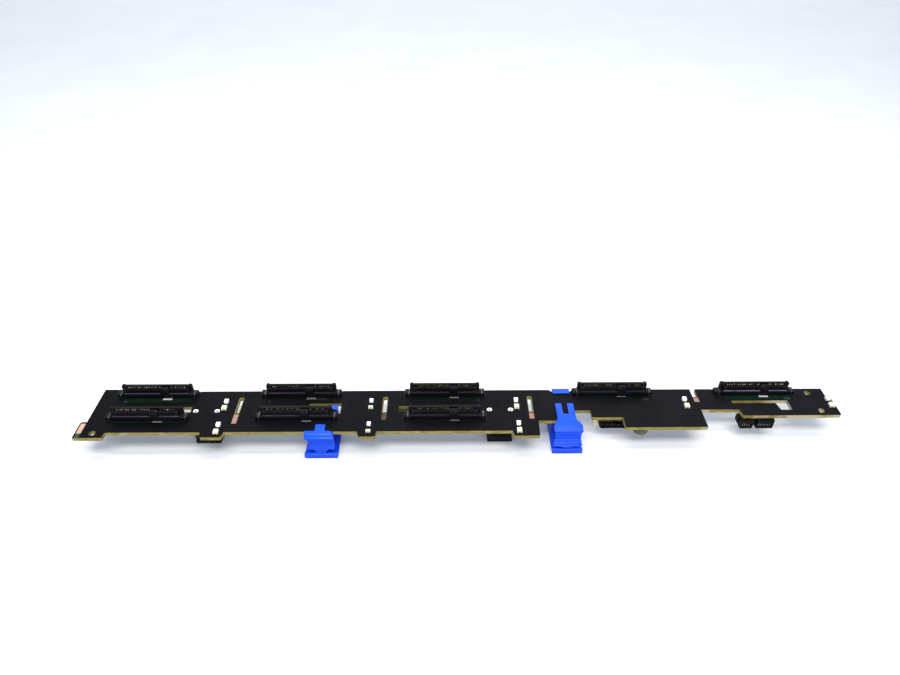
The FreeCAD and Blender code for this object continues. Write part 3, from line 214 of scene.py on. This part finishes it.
# ---------------------------------------------------------------- places
def solids(name):
    """Lowest and highest corner of each solid of a node, in millimetres, from left to right."""
    bpy.ops.object.select_all(action="DESELECT")
    copied = frame["nodes"][name].copy()
    copied.data = copied.data.copy()
    bpy.context.collection.objects.link(copied)
    bpy.context.view_layer.objects.active = copied
    copied.select_set(True)
    bpy.ops.object.mode_set(mode="EDIT")
    bpy.ops.mesh.select_all(action="SELECT")
    bpy.ops.mesh.remove_doubles(threshold=MERGE)
    bpy.ops.mesh.separate(type="LOOSE")
    bpy.ops.object.mode_set(mode="OBJECT")
    corners = []
    for loose in list(bpy.context.selected_objects):
        points = [v.co / MM for v in loose.data.vertices]
        corners.append((Vector([min(p[n] for p in points) for n in range(3)]),
                        Vector([max(p[n] for p in points) for n in range(3)])))
    bpy.ops.object.delete()
    return sorted(corners, key=lambda c: (round(c[0].x, 1), c[0].y))


BOARD_FACE = 17.1         # height of the laminate's drive side
FILM_FACE = 17.3          # height of the film over it
SLOT_RIM = 0.4            # bare laminate left round each air slot
SLOT_LENGTH = 12.4
PAD_OVERLAP = 0.3         # pad wider than its slot, each side
PAD_GAP = 0.9             # pad's far end to its slot
slot_rims = []
for start, end in solids("copper_pads")[1:4]:
    near = end.y + PAD_GAP
    slot_rims.append((start.x + PAD_OVERLAP - SLOT_RIM, end.x - PAD_OVERLAP + SLOT_RIM,
                      near - SLOT_RIM, near + SLOT_LENGTH + SLOT_RIM))


# ---------------------------------------------------------------- board finishes
def laminate():
    """Glass-epoxy laminate, masked and routed.

    Its faces are satin green, bare round the slots; its cut edge is a dull yellow that shows the plies.
    """
    made, tree, surface = material("glass_epoxy_laminate")
    up = facing(tree, "Z")
    level = node(tree, "ShaderNodeMath", {"operation": "ABSOLUTE"}, {0: up})
    flat = node(tree, "ShaderNodeMath", {"operation": "GREATER_THAN"}, {0: level, 1: 0.5})
    drive_side = node(tree, "ShaderNodeMath", {"operation": "GREATER_THAN"}, {0: up, 1: 0.5})

    # the drive side's mask changes along the board; the underside keeps one green, and both are mottled
    bays = node(tree, "ShaderNodeValToRGB", inputs={"Fac": along_board(tree, 0.0, 1.0)},
                stops=((0.0, "0e5434"), (0.04, "0a2817"), (0.18, "07180f"), (0.28, "050b09"), (0.47, "07120d"),
                       (0.81, "05090a"), (0.88, "0a2b1d")))
    green = node(tree, "ShaderNodeMix", {"data_type": "RGBA"}, {0: drive_side, 6: colour("0a3320"), 7: bays}, 2)
    clean = mottle(tree, 9.0)
    mask = node(tree, "ShaderNodeMix", {"data_type": "RGBA"}, {0: clean, 6: colour("030706"), 7: green}, 2)

    # resin between the plies, with pale crushed patches; a ramp makes the edge paler towards the right end
    plies = node(tree, "ShaderNodeTexWave", {"bands_direction": "Z"},
                 {"Vector": place_on_part(tree), "Scale": bands(PLY_PITCH), "Distortion": 1.5, "Detail": 2.0,
                  "Detail Scale": 1.2}, "Fac")
    glassy = node(tree, "ShaderNodeMapRange", inputs={"Value": plies, "To Min": 0.0, "To Max": 0.3})
    yellow = node(tree, "ShaderNodeValToRGB", inputs={"Fac": mottle(tree, 1.5, 4.0, stretch=(3, 3, 1))},
                  stops=((0.3, "706529"), (0.55, "8a7e41"), (0.8, "a5985f")))
    edge = node(tree, "ShaderNodeMix", {"data_type": "RGBA"}, {0: glassy, 6: yellow, 7: colour("625724")}, 2)
    right_end = node(tree, "ShaderNodeMapRange", inputs={"Value": coordinate(tree, "X"), "From Min": 120.0,
                                                         "From Max": 200.0, "To Min": 0.0, "To Max": 0.18})
    patches = node(tree, "ShaderNodeMath", {"operation": "ADD"}, {0: mottle(tree, 16.0, 2.0), 1: right_end})
    pale = node(tree, "ShaderNodeMapRange", inputs={"Value": patches, "From Min": 0.58, "From Max": 0.68,
                                                    "To Min": 0.0, "To Max": 0.7})
    edge = node(tree, "ShaderNodeMix", {"data_type": "RGBA"}, {0: pale, 6: edge, 7: colour("b3a588")}, 2)

    bare = 0.0
    for left, right, near, far in slot_rims:
        rim = node(tree, "ShaderNodeMath", {"operation": "MULTIPLY"},
                   {0: strip(tree, "X", left, right), 1: strip(tree, "Y", near, far)})
        bare = node(tree, "ShaderNodeMath", {"operation": "MAXIMUM"}, {0: rim, 1: bare})
    face = node(tree, "ShaderNodeMix", {"data_type": "RGBA"}, {0: bare, 6: mask, 7: colour("6b6430")}, 2)
    tint = node(tree, "ShaderNodeMix", {"data_type": "RGBA"}, {0: flat, 6: edge, 7: face}, 2)
    tree.links.new(tint, surface.inputs["Base Color"])
    gloss = node(tree, "ShaderNodeMapRange", inputs={"Value": flat, "To Min": 0.62, "To Max": 0.34})
    tree.links.new(gloss, surface.inputs["Roughness"])
    fixed(surface, Specular_IOR_Level=0.2)
    relief(tree, surface, mottle(tree, CLOTH), 0.02)
    return made


def film():
    """Black polyester film, calendered and die-cut: satin, slightly purple, with a faint wave and dust."""
    made, tree, surface = material("black_insulating_film")
    blotch = node(tree, "ShaderNodeMath", {"operation": "ADD"},
                  {0: mottle(tree, 14.0), 1: along_board(tree, -0.35, 0.35)})
    tone = node(tree, "ShaderNodeValToRGB", inputs={"Fac": blotch},
                stops=((0.1, "040407"), (0.5, "08080c"), (0.9, "0d0c13")))
    # dust specks are finer than this and are drawn at 0.6 mm to show
    dust = node(tree, "ShaderNodeMapRange", inputs={"Value": mottle(tree, 0.6, 4.0), "From Min": 0.62,
                                                    "From Max": 0.75, "To Min": 0.0, "To Max": 0.12})
    tint = node(tree, "ShaderNodeMix", {"data_type": "RGBA"}, {0: dust, 6: tone, 7: colour("2a282f")}, 2)
    tree.links.new(tint, surface.inputs["Base Color"])
    uneven_gloss(tree, surface, mottle(tree, 3.0), 0.5, 0.62)
    fixed(surface, Specular_IOR_Level=0.06)
    relief(tree, surface, mottle(tree, 2.2), 0.012)
    return made


def copper():
    """Bare etched copper: a pink-brown tarnish, deeper on some pads, that leaves little metal shine."""
    made, tree, surface = material("bare_copper")
    # right-hand limit of each stretch of the board, with its pads' dark and light tones
    tarnish = ((-150.0, "a98871", "c2a088"), (-60.0, "7f6352", "977a67"), (-30.0, "38271f", "49352b"),
               (60.0, "855848", "9d6e5d"), (300.0, "785f4f", "907563"))
    patch = mottle(tree, 1.4)
    tint = colour(tarnish[0][1])
    for limit, dark, light in reversed(tarnish):
        shade = node(tree, "ShaderNodeValToRGB", inputs={"Fac": patch}, stops=((0.3, dark), (0.7, light)))
        here = node(tree, "ShaderNodeMath", {"operation": "LESS_THAN"}, {0: coordinate(tree, "X"), 1: limit})
        tint = node(tree, "ShaderNodeMix", {"data_type": "RGBA"}, {0: here, 6: tint, 7: shade}, 2)
    tree.links.new(tint, surface.inputs["Base Color"])
    uneven_gloss(tree, surface, mottle(tree, 0.5), 0.4, 0.6)
    fixed(surface, Metallic=0.15, Specular_IOR_Level=0.3)
    relief(tree, surface, mottle(tree, 0.5), 0.01, 0.04)
    return made


def ink(name, thin, full):
    """Screen-printed epoxy ink: matt, a little thin in places where the screen left less."""
    made, tree, surface = material(name)
    tint = node(tree, "ShaderNodeValToRGB", inputs={"Fac": mottle(tree, 0.5, 4.0)},
                stops=((0.25, thin), (0.5, full)))
    tree.links.new(tint, surface.inputs["Base Color"])
    fixed(surface, Roughness=0.6)
    relief(tree, surface, mottle(tree, 0.3, 2.0), 0.01)
    return made


# ---------------------------------------------------------------- moulded finishes
def latch_blue():
    """Blue acetal, injection moulded: a strong waxy colour and a soft gloss, with painted light and shade in
    bands along the grip lines on its front faces.
    """
    made, tree, surface = material("blue_acetal")
    forward = node(tree, "ShaderNodeMapRange", inputs={"Value": facing(tree, "Y"), "From Min": -0.9,
                                                       "From Max": -0.5, "To Min": 1.0, "To Max": 0.0})
    lines = node(tree, "ShaderNodeTexWave", {"bands_direction": "Z", "wave_profile": "SIN"},
                 {"Vector": place_on_part(tree), "Scale": bands(GRIP_PITCH), "Distortion": 0.3}, "Fac")
    grip = node(tree, "ShaderNodeMath", {"operation": "MULTIPLY"}, {0: lines, 1: forward})
    # painted light and shade: lighter and darker bands of blue along the grip lines, on forward-facing faces
    # only
    tint = node(tree, "ShaderNodeValToRGB", inputs={"Fac": grip},
                stops=((0.0, "0345dc"), (0.5, "0852ee"), (0.9, "0234b4")))
    tree.links.new(tint, surface.inputs["Base Color"])
    mould_grain(tree, surface, 0.4)
    fixed(surface, Specular_IOR_Level=0.22)
    relief(tree, surface, grip, GRIP_DEPTH, 0.25)
    return made


LEDGE_TOP = 20.1          # height of the ledge along the near side of each drive receptacle
LEDGE_REACH = 0.2         # of the painted highlight line, above and below that height
LEDGE_MIDDLE = 0.7        # middle of the painted highlight line, from the receptacle's near face
LEDGE_HALF = 0.25         # half the painted highlight line's width
ledge_lines = [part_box("drive_receptacle_%d" % n)[0].y / MM + LEDGE_MIDDLE for n in (1, 6)]


def connector_resin():
    """Glass-filled resin, moulded: dull, nearly black and slightly purple.

    Along the ledges that the drives slide past, their upward faces carry a painted highlight: a grey line,
    broken in places, lighter at both ends of the board.
    """
    made, tree, surface = material("black_connector_resin")
    upward = node(tree, "ShaderNodeMath", {"operation": "GREATER_THAN"}, {0: facing(tree, "Z"), 1: 0.3})
    ledge = node(tree, "ShaderNodeMath", {"operation": "MULTIPLY"},
                 {0: upward, 1: strip(tree, "Z", LEDGE_TOP - LEDGE_REACH, LEDGE_TOP + LEDGE_REACH)})
    rows = [strip(tree, "Y", y - LEDGE_HALF, y + LEDGE_HALF) for y in ledge_lines]
    either = node(tree, "ShaderNodeMath", {"operation": "MAXIMUM"}, dict(enumerate(rows)))
    line = node(tree, "ShaderNodeMath", {"operation": "MULTIPLY"}, {0: ledge, 1: either})
    # painted highlight: the ledge's upward faces are painted grey as if catching the light, broken in places by
    # a mottle
    highlight_breaks = node(tree, "ShaderNodeMapRange", inputs={"Value": mottle(tree, 4.0), "From Min": 0.3,
                                                    "From Max": 0.6, "To Min": 0.4, "To Max": 1.0})
    painted_ledge_highlight = node(tree, "ShaderNodeMath", {"operation": "MULTIPLY"}, {0: line, 1: highlight_breaks})
    black = node(tree, "ShaderNodeValToRGB", inputs={"Fac": mottle(tree, MOULD_TONE, 2.0)},
                 stops=((0.3, "060508"), (0.7, "0c0a10")))
    # the painted highlight's grey: lighter at both ends of the board, bluish at the right end
    grey = node(tree, "ShaderNodeValToRGB", inputs={"Fac": along_board(tree, 0.0, 1.0)},
                stops=((0.24, "454151"), (0.3, "2b2931"), (0.76, "232128"), (0.8, "70728e")))
    tint = node(tree, "ShaderNodeMix", {"data_type": "RGBA"}, {0: painted_ledge_highlight, 6: black, 7: grey}, 2)
    tree.links.new(tint, surface.inputs["Base Color"])
    fixed(surface, Specular_IOR_Level=0.14)
    relief(tree, surface, mould_grain(tree, surface, 0.5), MOULD_DEPTH, MOULD_EDGE)
    return made


resin = connector_resin()
# nylon of the two headers: blacker and duller than the receptacles' resin
nylon, surface = moulded("black_header_nylon", "020203", "050506", 0.55)
fixed(surface, Specular_IOR_Level=0.1)
# transfer-moulded epoxy of chips and coil: dark grey, matt
epoxy, _ = moulded("black_moulding_epoxy", "17171a", "1f1f22", 0.55)
# shrunk plastic sleeve of the capacitor: olive, a dull sheen
can, _ = moulded("olive_sleeve", "35360f", "4d4b1d", 0.45)
# fired and ground ceramic of the small chips: tan, even
ceramic, _ = moulded("tan_ceramic", "6d5a45", "8b7458", 0.5)
# filled lamp resins, cast: milky and smooth, one white, one cream
white_lamp, _ = moulded("white_lamp_resin", "f2f4f2", "ffffff", 0.35)
cream_lamp, _ = moulded("cream_lamp_resin", "e6dcba", "efe7cd", 0.35)
# clear lens resin over the lamp: smooth enough to glint
lens, _ = moulded("lamp_lens_resin", "f6efcb", "fdf8e6", 0.12)


# ---------------------------------------------------------------- metal finishes
def contact_gold():
    """Thin gold flash on stamped contacts, with painted light: glints painted in streaks at the tips, brighter
    on the end columns, and painted shade, near black, further down the slot.
    """
    made, tree, surface, plating = plated("thin_gold_flash", "cbbb94", "8a7c5e", 0.5)
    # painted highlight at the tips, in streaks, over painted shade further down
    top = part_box("receptacle_contacts_1")[1].z / MM
    painted_tip_light = node(tree, "ShaderNodeMapRange", inputs={"Value": coordinate(tree, "Z"), "From Min": top - 0.9,
                                                   "From Max": top - 0.5})
    glint_streaks = mottle(tree, 0.9, 1.0, stretch=(1, 60, 60))
    painted_glints = node(tree, "ShaderNodeMapRange", inputs={"Value": glint_streaks, "From Min": 0.45, "From Max": 0.58,
                                                     "To Min": 0.1, "To Max": 1.0})
    painted_tip_light = node(tree, "ShaderNodeMath", {"operation": "MULTIPLY"}, {0: painted_tip_light, 1: painted_glints})
    # painted highlight: the end columns' contacts get the brighter glints
    from_middle = node(tree, "ShaderNodeMath", {"operation": "ABSOLUTE"}, {0: coordinate(tree, "X")})
    outer = node(tree, "ShaderNodeMapRange", inputs={"Value": from_middle, "From Min": 105.0, "From Max": 125.0,
                                                     "To Min": 0.35, "To Max": 1.0})
    painted_tip_light = node(tree, "ShaderNodeMath", {"operation": "MULTIPLY"}, {0: painted_tip_light, 1: outer})
    # painted shade: near black below the tips, down in the slot
    tint = node(tree, "ShaderNodeMix", {"data_type": "RGBA"}, {0: painted_tip_light, 6: colour("0c0a08"), 7: plating}, 2)
    tree.links.new(tint, surface.inputs["Base Color"])
    return made


# electroplated gold of the cable contacts and the test pin: pale yellow, smooth
gold = plated("gold_plating", "dcc888", "b49c5c", 0.3)[0]
contact_gold_painted_light = contact_gold()
# matt tin on folded sheet: grey, soft shine
tin = plated("tin_plating", "7c7c7e", "545456", 0.5)[0]
# solder painted white and scattered rather than mirror-like: a painted highlight in place of its bright
# reflection
solder = plated("solder_painted_white", "ffffff", "ececf2", 0.5, 0.1)[0]
# the sideband springs' gold flash, painted pale and scattered: a painted highlight for their glints
spring_painted_glint = plated("pale_gold_painted_glint", "fff6dc", "e0d2a8", 0.35, 0.2)[0]
finishes = {
    "laminate": laminate(), "film": film(), "copper": copper(), "tinned_sheet": tin, "lamp_white": white_lamp,
    "lamp_cream": cream_lamp, "lens": lens, "ceramic": ceramic, "connector_resin": resin, "gold": gold,
    "can": can, "epoxy": epoxy, "latch_blue": latch_blue(),
}
own_finish = {"power_header": nylon, "sideband_header": nylon, "sideband_springs": spring_painted_glint}
own_finish.update({"receptacle_contacts_%d" % n: contact_gold_painted_light for n in range(1, 9)})
slots = {entry["node"]: entry["material_slot"] for entry in frame["record"]["subparts"]}
for name, thing in frame["nodes"].items():
    thing.data.materials.clear()
    thing.data.materials.append(own_finish.get(name, finishes[slots[name]]))


# ---------------------------------------------------------------- moulded edges
def softened(name, radius_mm, steps=2):
    """The node's own solid with its sharp edges rounded as its mould leaves them."""
    bpy.ops.object.select_all(action="DESELECT")
    source = frame["nodes"][name]
    piece = source.copy()
    piece.data = source.data.copy()
    piece.name = name + "_moulded"
    bpy.context.collection.objects.link(piece)
    bpy.context.view_layer.objects.active = piece
    piece.select_set(True)
    bpy.ops.object.mode_set(mode="EDIT")
    bpy.ops.mesh.select_all(action="SELECT")
    bpy.ops.mesh.remove_doubles(threshold=MERGE)
    bpy.ops.mesh.dissolve_limited(angle_limit=math.radians(1.0))
    bpy.ops.object.mode_set(mode="OBJECT")
    bevel = piece.modifiers.new("soft_edges", "BEVEL")
    bevel.width = radius_mm * MM
    bevel.segments = steps
    bevel.limit_method = "ANGLE"
    bevel.angle_limit = math.radians(40)
    bevel.use_clamp_overlap = True
    bevel.miter_outer = "MITER_ARC"
    bpy.ops.object.modifier_apply(modifier="soft_edges")
    bpy.ops.object.shade_smooth_by_angle(angle=math.radians(38))
    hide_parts(name)
    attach(piece, "root")


HOUSING_EDGE = 0.15       # radius on the connectors' edges
LATCH_EDGE = 0.35
CAN_EDGE = 0.5
for name in ("release_latch_left", "release_latch_right"):
    softened(name, LATCH_EDGE, 3)
for number in range(1, 9):
    softened("drive_receptacle_%d" % number, HOUSING_EDGE)
for name in ("sideband_header", "rear_cable_socket_left", "rear_cable_socket_right", "power_header"):
    softened(name, HOUSING_EDGE)
softened("smoothing_can", CAN_EDGE, 3)


# ---------------------------------------------------------------- small pieces
def begin(name):
    """The primitive just added, named and in edit mode with everything selected."""
    piece = bpy.context.object
    piece.name = name
    bpy.ops.object.mode_set(mode="EDIT")
    bpy.ops.mesh.select_all(action="SELECT")
    return piece


def choose(piece, kind, test):
    """Selects the faces or edges whose middle in millimetres and direction pass the test."""
    bpy.ops.object.mode_set(mode="OBJECT")
    mesh = piece.data
    for items in (mesh.vertices, mesh.edges, mesh.polygons):
        for item in items:
            item.select = False
    if kind == "FACE":
        for face in mesh.polygons:
            face.select = test(face.center / MM, face.normal)
    else:
        for edge in mesh.edges:
            a, b = (mesh.vertices[n].co / MM for n in edge.vertices)
            edge.select = test((a + b) / 2, (b - a).normalized())
    bpy.ops.object.mode_set(mode="EDIT")
    bpy.ops.mesh.select_mode(type=kind)


def finish_piece(piece, paint):
    """Leaves edit mode, puts the piece's place in its mesh and gives it its finish."""
    bpy.ops.object.mode_set(mode="OBJECT")
    bpy.ops.object.select_all(action="DESELECT")
    bpy.context.view_layer.objects.active = piece
    piece.select_set(True)
    bpy.ops.object.transform_apply(location=True, rotation=True, scale=True)
    bpy.ops.object.shade_smooth_by_angle(angle=math.radians(40))
    piece.data.materials.clear()
    piece.data.materials.append(paint)
    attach(piece, "root")


def repeated(pattern, name, place, covers, stretch=(1, 1, 1)):
    """A copy of a piece made at the origin, with its own mesh, at a place in millimetres."""
    piece = pattern.copy()
    piece.data = pattern.data.copy()
    piece.name = name
    piece.data.transform(Matrix.Translation(Vector(place) * MM) @ Matrix.Diagonal((*stretch, 1)))
    bpy.context.collection.objects.link(piece)
    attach(piece, "root")
    for node_name in covers:
        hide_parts(node_name)


def lamp_block(name, width, length, height):
    """A lamp's plain body about the origin, standing on height zero."""
    bpy.ops.mesh.primitive_cube_add(size=1.0)
    piece = begin(name)
    bpy.ops.transform.resize(value=(width * MM, length * MM, height * MM))
    bpy.ops.transform.translate(value=(0, 0, height / 2 * MM))
    return piece


status = solids("status_lamps")
activity = solids("activity_lamps")
width, length, height = status[0][1] - status[0][0]

# activity lamp: near end rounded, a raised rim round a cup
ACTIVITY_NARROW = 0.86    # its width over the status lamp's
NOSE_RADIUS = 0.85
RIM_WIDTH = 0.25
RIM_RISE = 0.12
CUP_WIDTH = 0.45
CUP_DEPTH = 0.1
BEAD_WIDTH = 0.15         # bead of resin in the cup
white = lamp_block("activity_lamp_form", width * ACTIVITY_NARROW, length, height)
choose(white, "EDGE", lambda m, d: abs(d.z) > 0.9 and m.y < 0)
bpy.ops.mesh.bevel(offset=NOSE_RADIUS * MM, segments=4)
choose(white, "FACE", lambda m, n: n.z > 0.9)
bpy.ops.mesh.inset(thickness=RIM_WIDTH * MM, depth=RIM_RISE * MM)
bpy.ops.mesh.inset(thickness=CUP_WIDTH * MM, depth=-CUP_DEPTH * MM)
bpy.ops.mesh.inset(thickness=BEAD_WIDTH * MM, depth=RIM_RISE * MM)
finish_piece(white, white_lamp)

# status lamp: two lobes with a notch between them at the near end, and a recess in the top
NOTCH_DEPTH = 0.55
RECESS_DEPTH = 0.35
MIDDLE_SHARE = 0.15       # half width of the notch and the recess, over the lamp's
TOP_EDGE = 0.12
cream = lamp_block("status_lamp_form", width, length, height)
bpy.ops.mesh.subdivide(number_cuts=4)
choose(cream, "FACE", lambda m, n: n.y < -0.9 and abs(m.x) < width * MIDDLE_SHARE)
bpy.ops.transform.translate(value=(0, NOTCH_DEPTH * MM, 0))
choose(cream, "FACE", lambda m, n: (n.z > 0.9 and abs(m.x) < width * MIDDLE_SHARE
                                    and abs(m.y) < length * MIDDLE_SHARE))
bpy.ops.mesh.extrude_region_move(TRANSFORM_OT_translate={"value": (0, 0, -RECESS_DEPTH * MM)})
choose(cream, "EDGE", lambda m, d: (m.z > height * 0.95
                                    and (abs(m.x) > width * 0.49 or abs(m.y) > length * 0.49)))
bpy.ops.mesh.bevel(offset=TOP_EDGE * MM, segments=2)
finish_piece(cream, cream_lamp)

# the second column's lamps are a smaller type
SMALL_WHITE = (0.9, 0.85, 1.0)
SMALL_CREAM = (0.95, 0.5, 0.9)
second = sorted({round(start.x, 1) for start, end in status})[1]
for lamps, form, small, covers, title in (
        (status, cream, SMALL_CREAM, ("status_lamps",), "status_lamp_%d"),
        (activity, white, SMALL_WHITE, ("activity_lamps", "lamp_lenses"), "activity_lamp_%d")):
    for count, (start, end) in enumerate(lamps):
        middle = (start + end) / 2
        size = small if round(start.x, 1) == second else (1, 1, 1)
        repeated(form, title % (count + 1), (middle.x, middle.y, start.z), covers, size)
for form in (white, cream):
    bpy.data.objects.remove(form)

# plain bars of ink before each receptacle, with one or two rows and, at two of them, a thin line going on
INK_DEPTH = 0.03
MARK_FIRST = 26.7         # from the receptacle's left end
MARK_LENGTH = 5.1
MARK_DRIFT = 0.3          # each column prints a little further left
MARK_GAP = 0.2            # from the receptacle's near face
ROW_GAP = 0.3
LINE_GAP = 0.6            # from the bars to the line that goes on


def print_mark(name, left, near, length, depth, bars, paint):
    """A row of plain bars printed on the board."""
    bpy.ops.mesh.primitive_plane_add(size=1.0)
    piece = begin(name)
    bpy.ops.transform.resize(value=(length * MM, depth * MM, 1))
    bpy.ops.transform.translate(value=((left + length / 2) * MM, (near + depth / 2) * MM,
                                       (BOARD_FACE + INK_DEPTH) * MM))
    bpy.ops.mesh.subdivide(number_cuts=4 * bars - 2)
    step = length / (4 * bars - 1)
    choose(piece, "FACE", lambda m, n: int((m.x - left) / step) % 4 == 3)
    bpy.ops.mesh.delete(type="FACE")
    bpy.ops.mesh.select_all(action="SELECT")
    bpy.ops.mesh.extrude_region_move(TRANSFORM_OT_translate={"value": (0, 0, -INK_DEPTH * MM)})
    bpy.ops.mesh.select_all(action="SELECT")
    bpy.ops.mesh.normals_make_consistent(inside=False)
    finish_piece(piece, paint)


fresh = ink("marking_ink", "8e8e92", "bcbcc0")
faded = ink("faded_marking_ink", "48484c", "727276")
worn = ink("worn_marking_ink", "1c211e", "4c524e")
# receptacle: the depth of each row, the number of bars, the ink
marks = {1: ((1.3,), 7, fresh), 2: ((0.5, 0.5), 9, faded), 3: ((0.8,), 6, faded), 4: ((0.5,), 6, faded),
         5: ((1.3,), 5, fresh), 6: ((0.8,), 6, faded), 7: ((0.9,), 6, faded), 8: ((0.45, 0.45), 8, faded)}
# receptacle: the line's length, its depth and its number of bars
lines = {2: (5.5, 0.3, 5), 8: (13.0, 0.25, 1)}
for number, (rows, bars, paint) in marks.items():
    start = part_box("drive_receptacle_%d" % number)[0] / MM
    near = start.y - MARK_GAP
    left = start.x + MARK_FIRST - MARK_DRIFT * ((number - 1) % 5)
    for row, depth in enumerate(rows):
        near -= depth + (ROW_GAP if row else 0.0)
        print_mark("print_mark_%d_%d" % (number, row + 1), left, near, MARK_LENGTH, depth, bars, paint)
    if number in lines:
        print_mark("print_line_%d" % number, left + MARK_LENGTH + LINE_GAP, near, *lines[number], worn)

# solder round each cable-socket lock: a flattened ring, lower on the near side, its hole left open
RING_MIDDLE = 0.7         # of the ring's wire, over the lock's radius
RING_WIRE = 0.32
RING_FLAT = 0.6
RING_DROP = 0.25
pegs = solids("cable_socket_pegs")
radius = (pegs[0][1].x - pegs[0][0].x) / 2
bpy.ops.mesh.primitive_torus_add(major_segments=20, minor_segments=8, major_radius=radius * RING_MIDDLE * MM,
                                 minor_radius=radius * RING_WIRE * MM)
ring = begin("solder_ring_form")
bpy.ops.transform.resize(value=(1, 1, RING_FLAT))
choose(ring, "FACE", lambda m, n: m.y < -radius * 0.5)
bpy.ops.transform.translate(value=(0, 0, -RING_DROP * MM))
finish_piece(ring, solder)
for count, (start, end) in enumerate(pegs):
    middle = (start + end) / 2
    repeated(ring, "solder_ring_%d" % (count + 1), (middle.x, middle.y, FILM_FACE), ("cable_socket_pegs",))
bpy.data.objects.remove(ring)


# ---------------------------------------------------------------- floor, light and camera
FLOOR_SIZE = 12.0
FLOOR_DROP = 0.0001       # under the part's lowest face, so that the two don't flicker
bpy.ops.mesh.primitive_plane_add(size=1.0)
floor = bpy.context.object
floor.name = "floor"
bpy.ops.object.mode_set(mode="EDIT")
bpy.ops.transform.resize(value=(FLOOR_SIZE, FLOOR_SIZE, 1.0))
bpy.ops.mesh.subdivide(number_cuts=3)
bpy.ops.transform.translate(value=(0, 0, size_at_load[0][2] - FLOOR_DROP))
bpy.ops.object.mode_set(mode="OBJECT")
# rolled pale paint, matt
pale, tree, surface = material("pale_floor_paint")
tint = node(tree, "ShaderNodeValToRGB", inputs={"Fac": mottle(tree, 90.0, 2.0)},
            stops=((0.3, "d5d8dc"), (0.7, "dadce0")))
tree.links.new(tint, surface.inputs["Base Color"])
fixed(surface, Roughness=0.7)
floor.data.materials.append(pale)


def soft_light(name, place, target, width, depth, power, tint="ffffff"):
    """Rectangular soft light aimed at a point, in metres and watts."""
    light = bpy.data.lights.new(name, "AREA")
    light.shape = "RECTANGLE"
    light.size = width
    light.size_y = depth
    light.energy = power
    light.color = colour(tint)[:3]
    thing = bpy.data.objects.new(name, light)
    thing.location = place
    thing.rotation_euler = (Vector(target) - Vector(place)).to_track_quat("-Z", "Y").to_euler()
    bpy.context.collection.objects.link(thing)


CENTRE = (0, 0, 0)
soft_light("key", (0.0, -0.45, 1.0), CENTRE, 1.0, 0.3, 12.0, "fffaf2")
soft_light("tube", (0.0, 0.0, 1.0), CENTRE, 1.2, 0.1, 4.5, "fffaf2")
soft_light("back_top", (0.0, 0.5, 1.0), CENTRE, 1.2, 0.5, 2.0, "f4f7ff")
soft_light("front_fill", (0.0, -1.0, 0.7), CENTRE, 1.6, 0.6, 7.0, "eef4ff")
soft_light("far_floor", (0.0, 3.4, 2.0), (0, 3.2, 0), 5.0, 3.0, 130.0)
world = bpy.data.worlds.new("studio")
world.use_nodes = True
world.node_tree.nodes["Background"].inputs["Color"].default_value = colour("d8e6fc")
world.node_tree.nodes["Background"].inputs["Strength"].default_value = 0.45
bpy.context.scene.world = world
bpy.context.scene.view_settings.view_transform = "Standard"

EYE_PLACE = (-0.011125, -0.2742, 0.2846)
EYE_TURN = -0.65          # degrees to the side
EYE_TILT = 51.95          # degrees up from straight down
EYE_ROLL = 0.16
eye = bpy.data.cameras.new("camera")
eye.lens = 26.98
eye.sensor_width = 36.0
eye.clip_start = 0.01
view = bpy.data.objects.new("camera", eye)
turn = Matrix.Rotation(math.radians(EYE_TURN), 4, "Z") @ Matrix.Rotation(math.radians(EYE_TILT), 4, "X")
turn = turn @ Matrix.Rotation(math.radians(EYE_ROLL), 4, "Z")
view.matrix_world = Matrix.Translation(EYE_PLACE) @ turn
bpy.context.collection.objects.link(view)
bpy.context.scene.camera = view
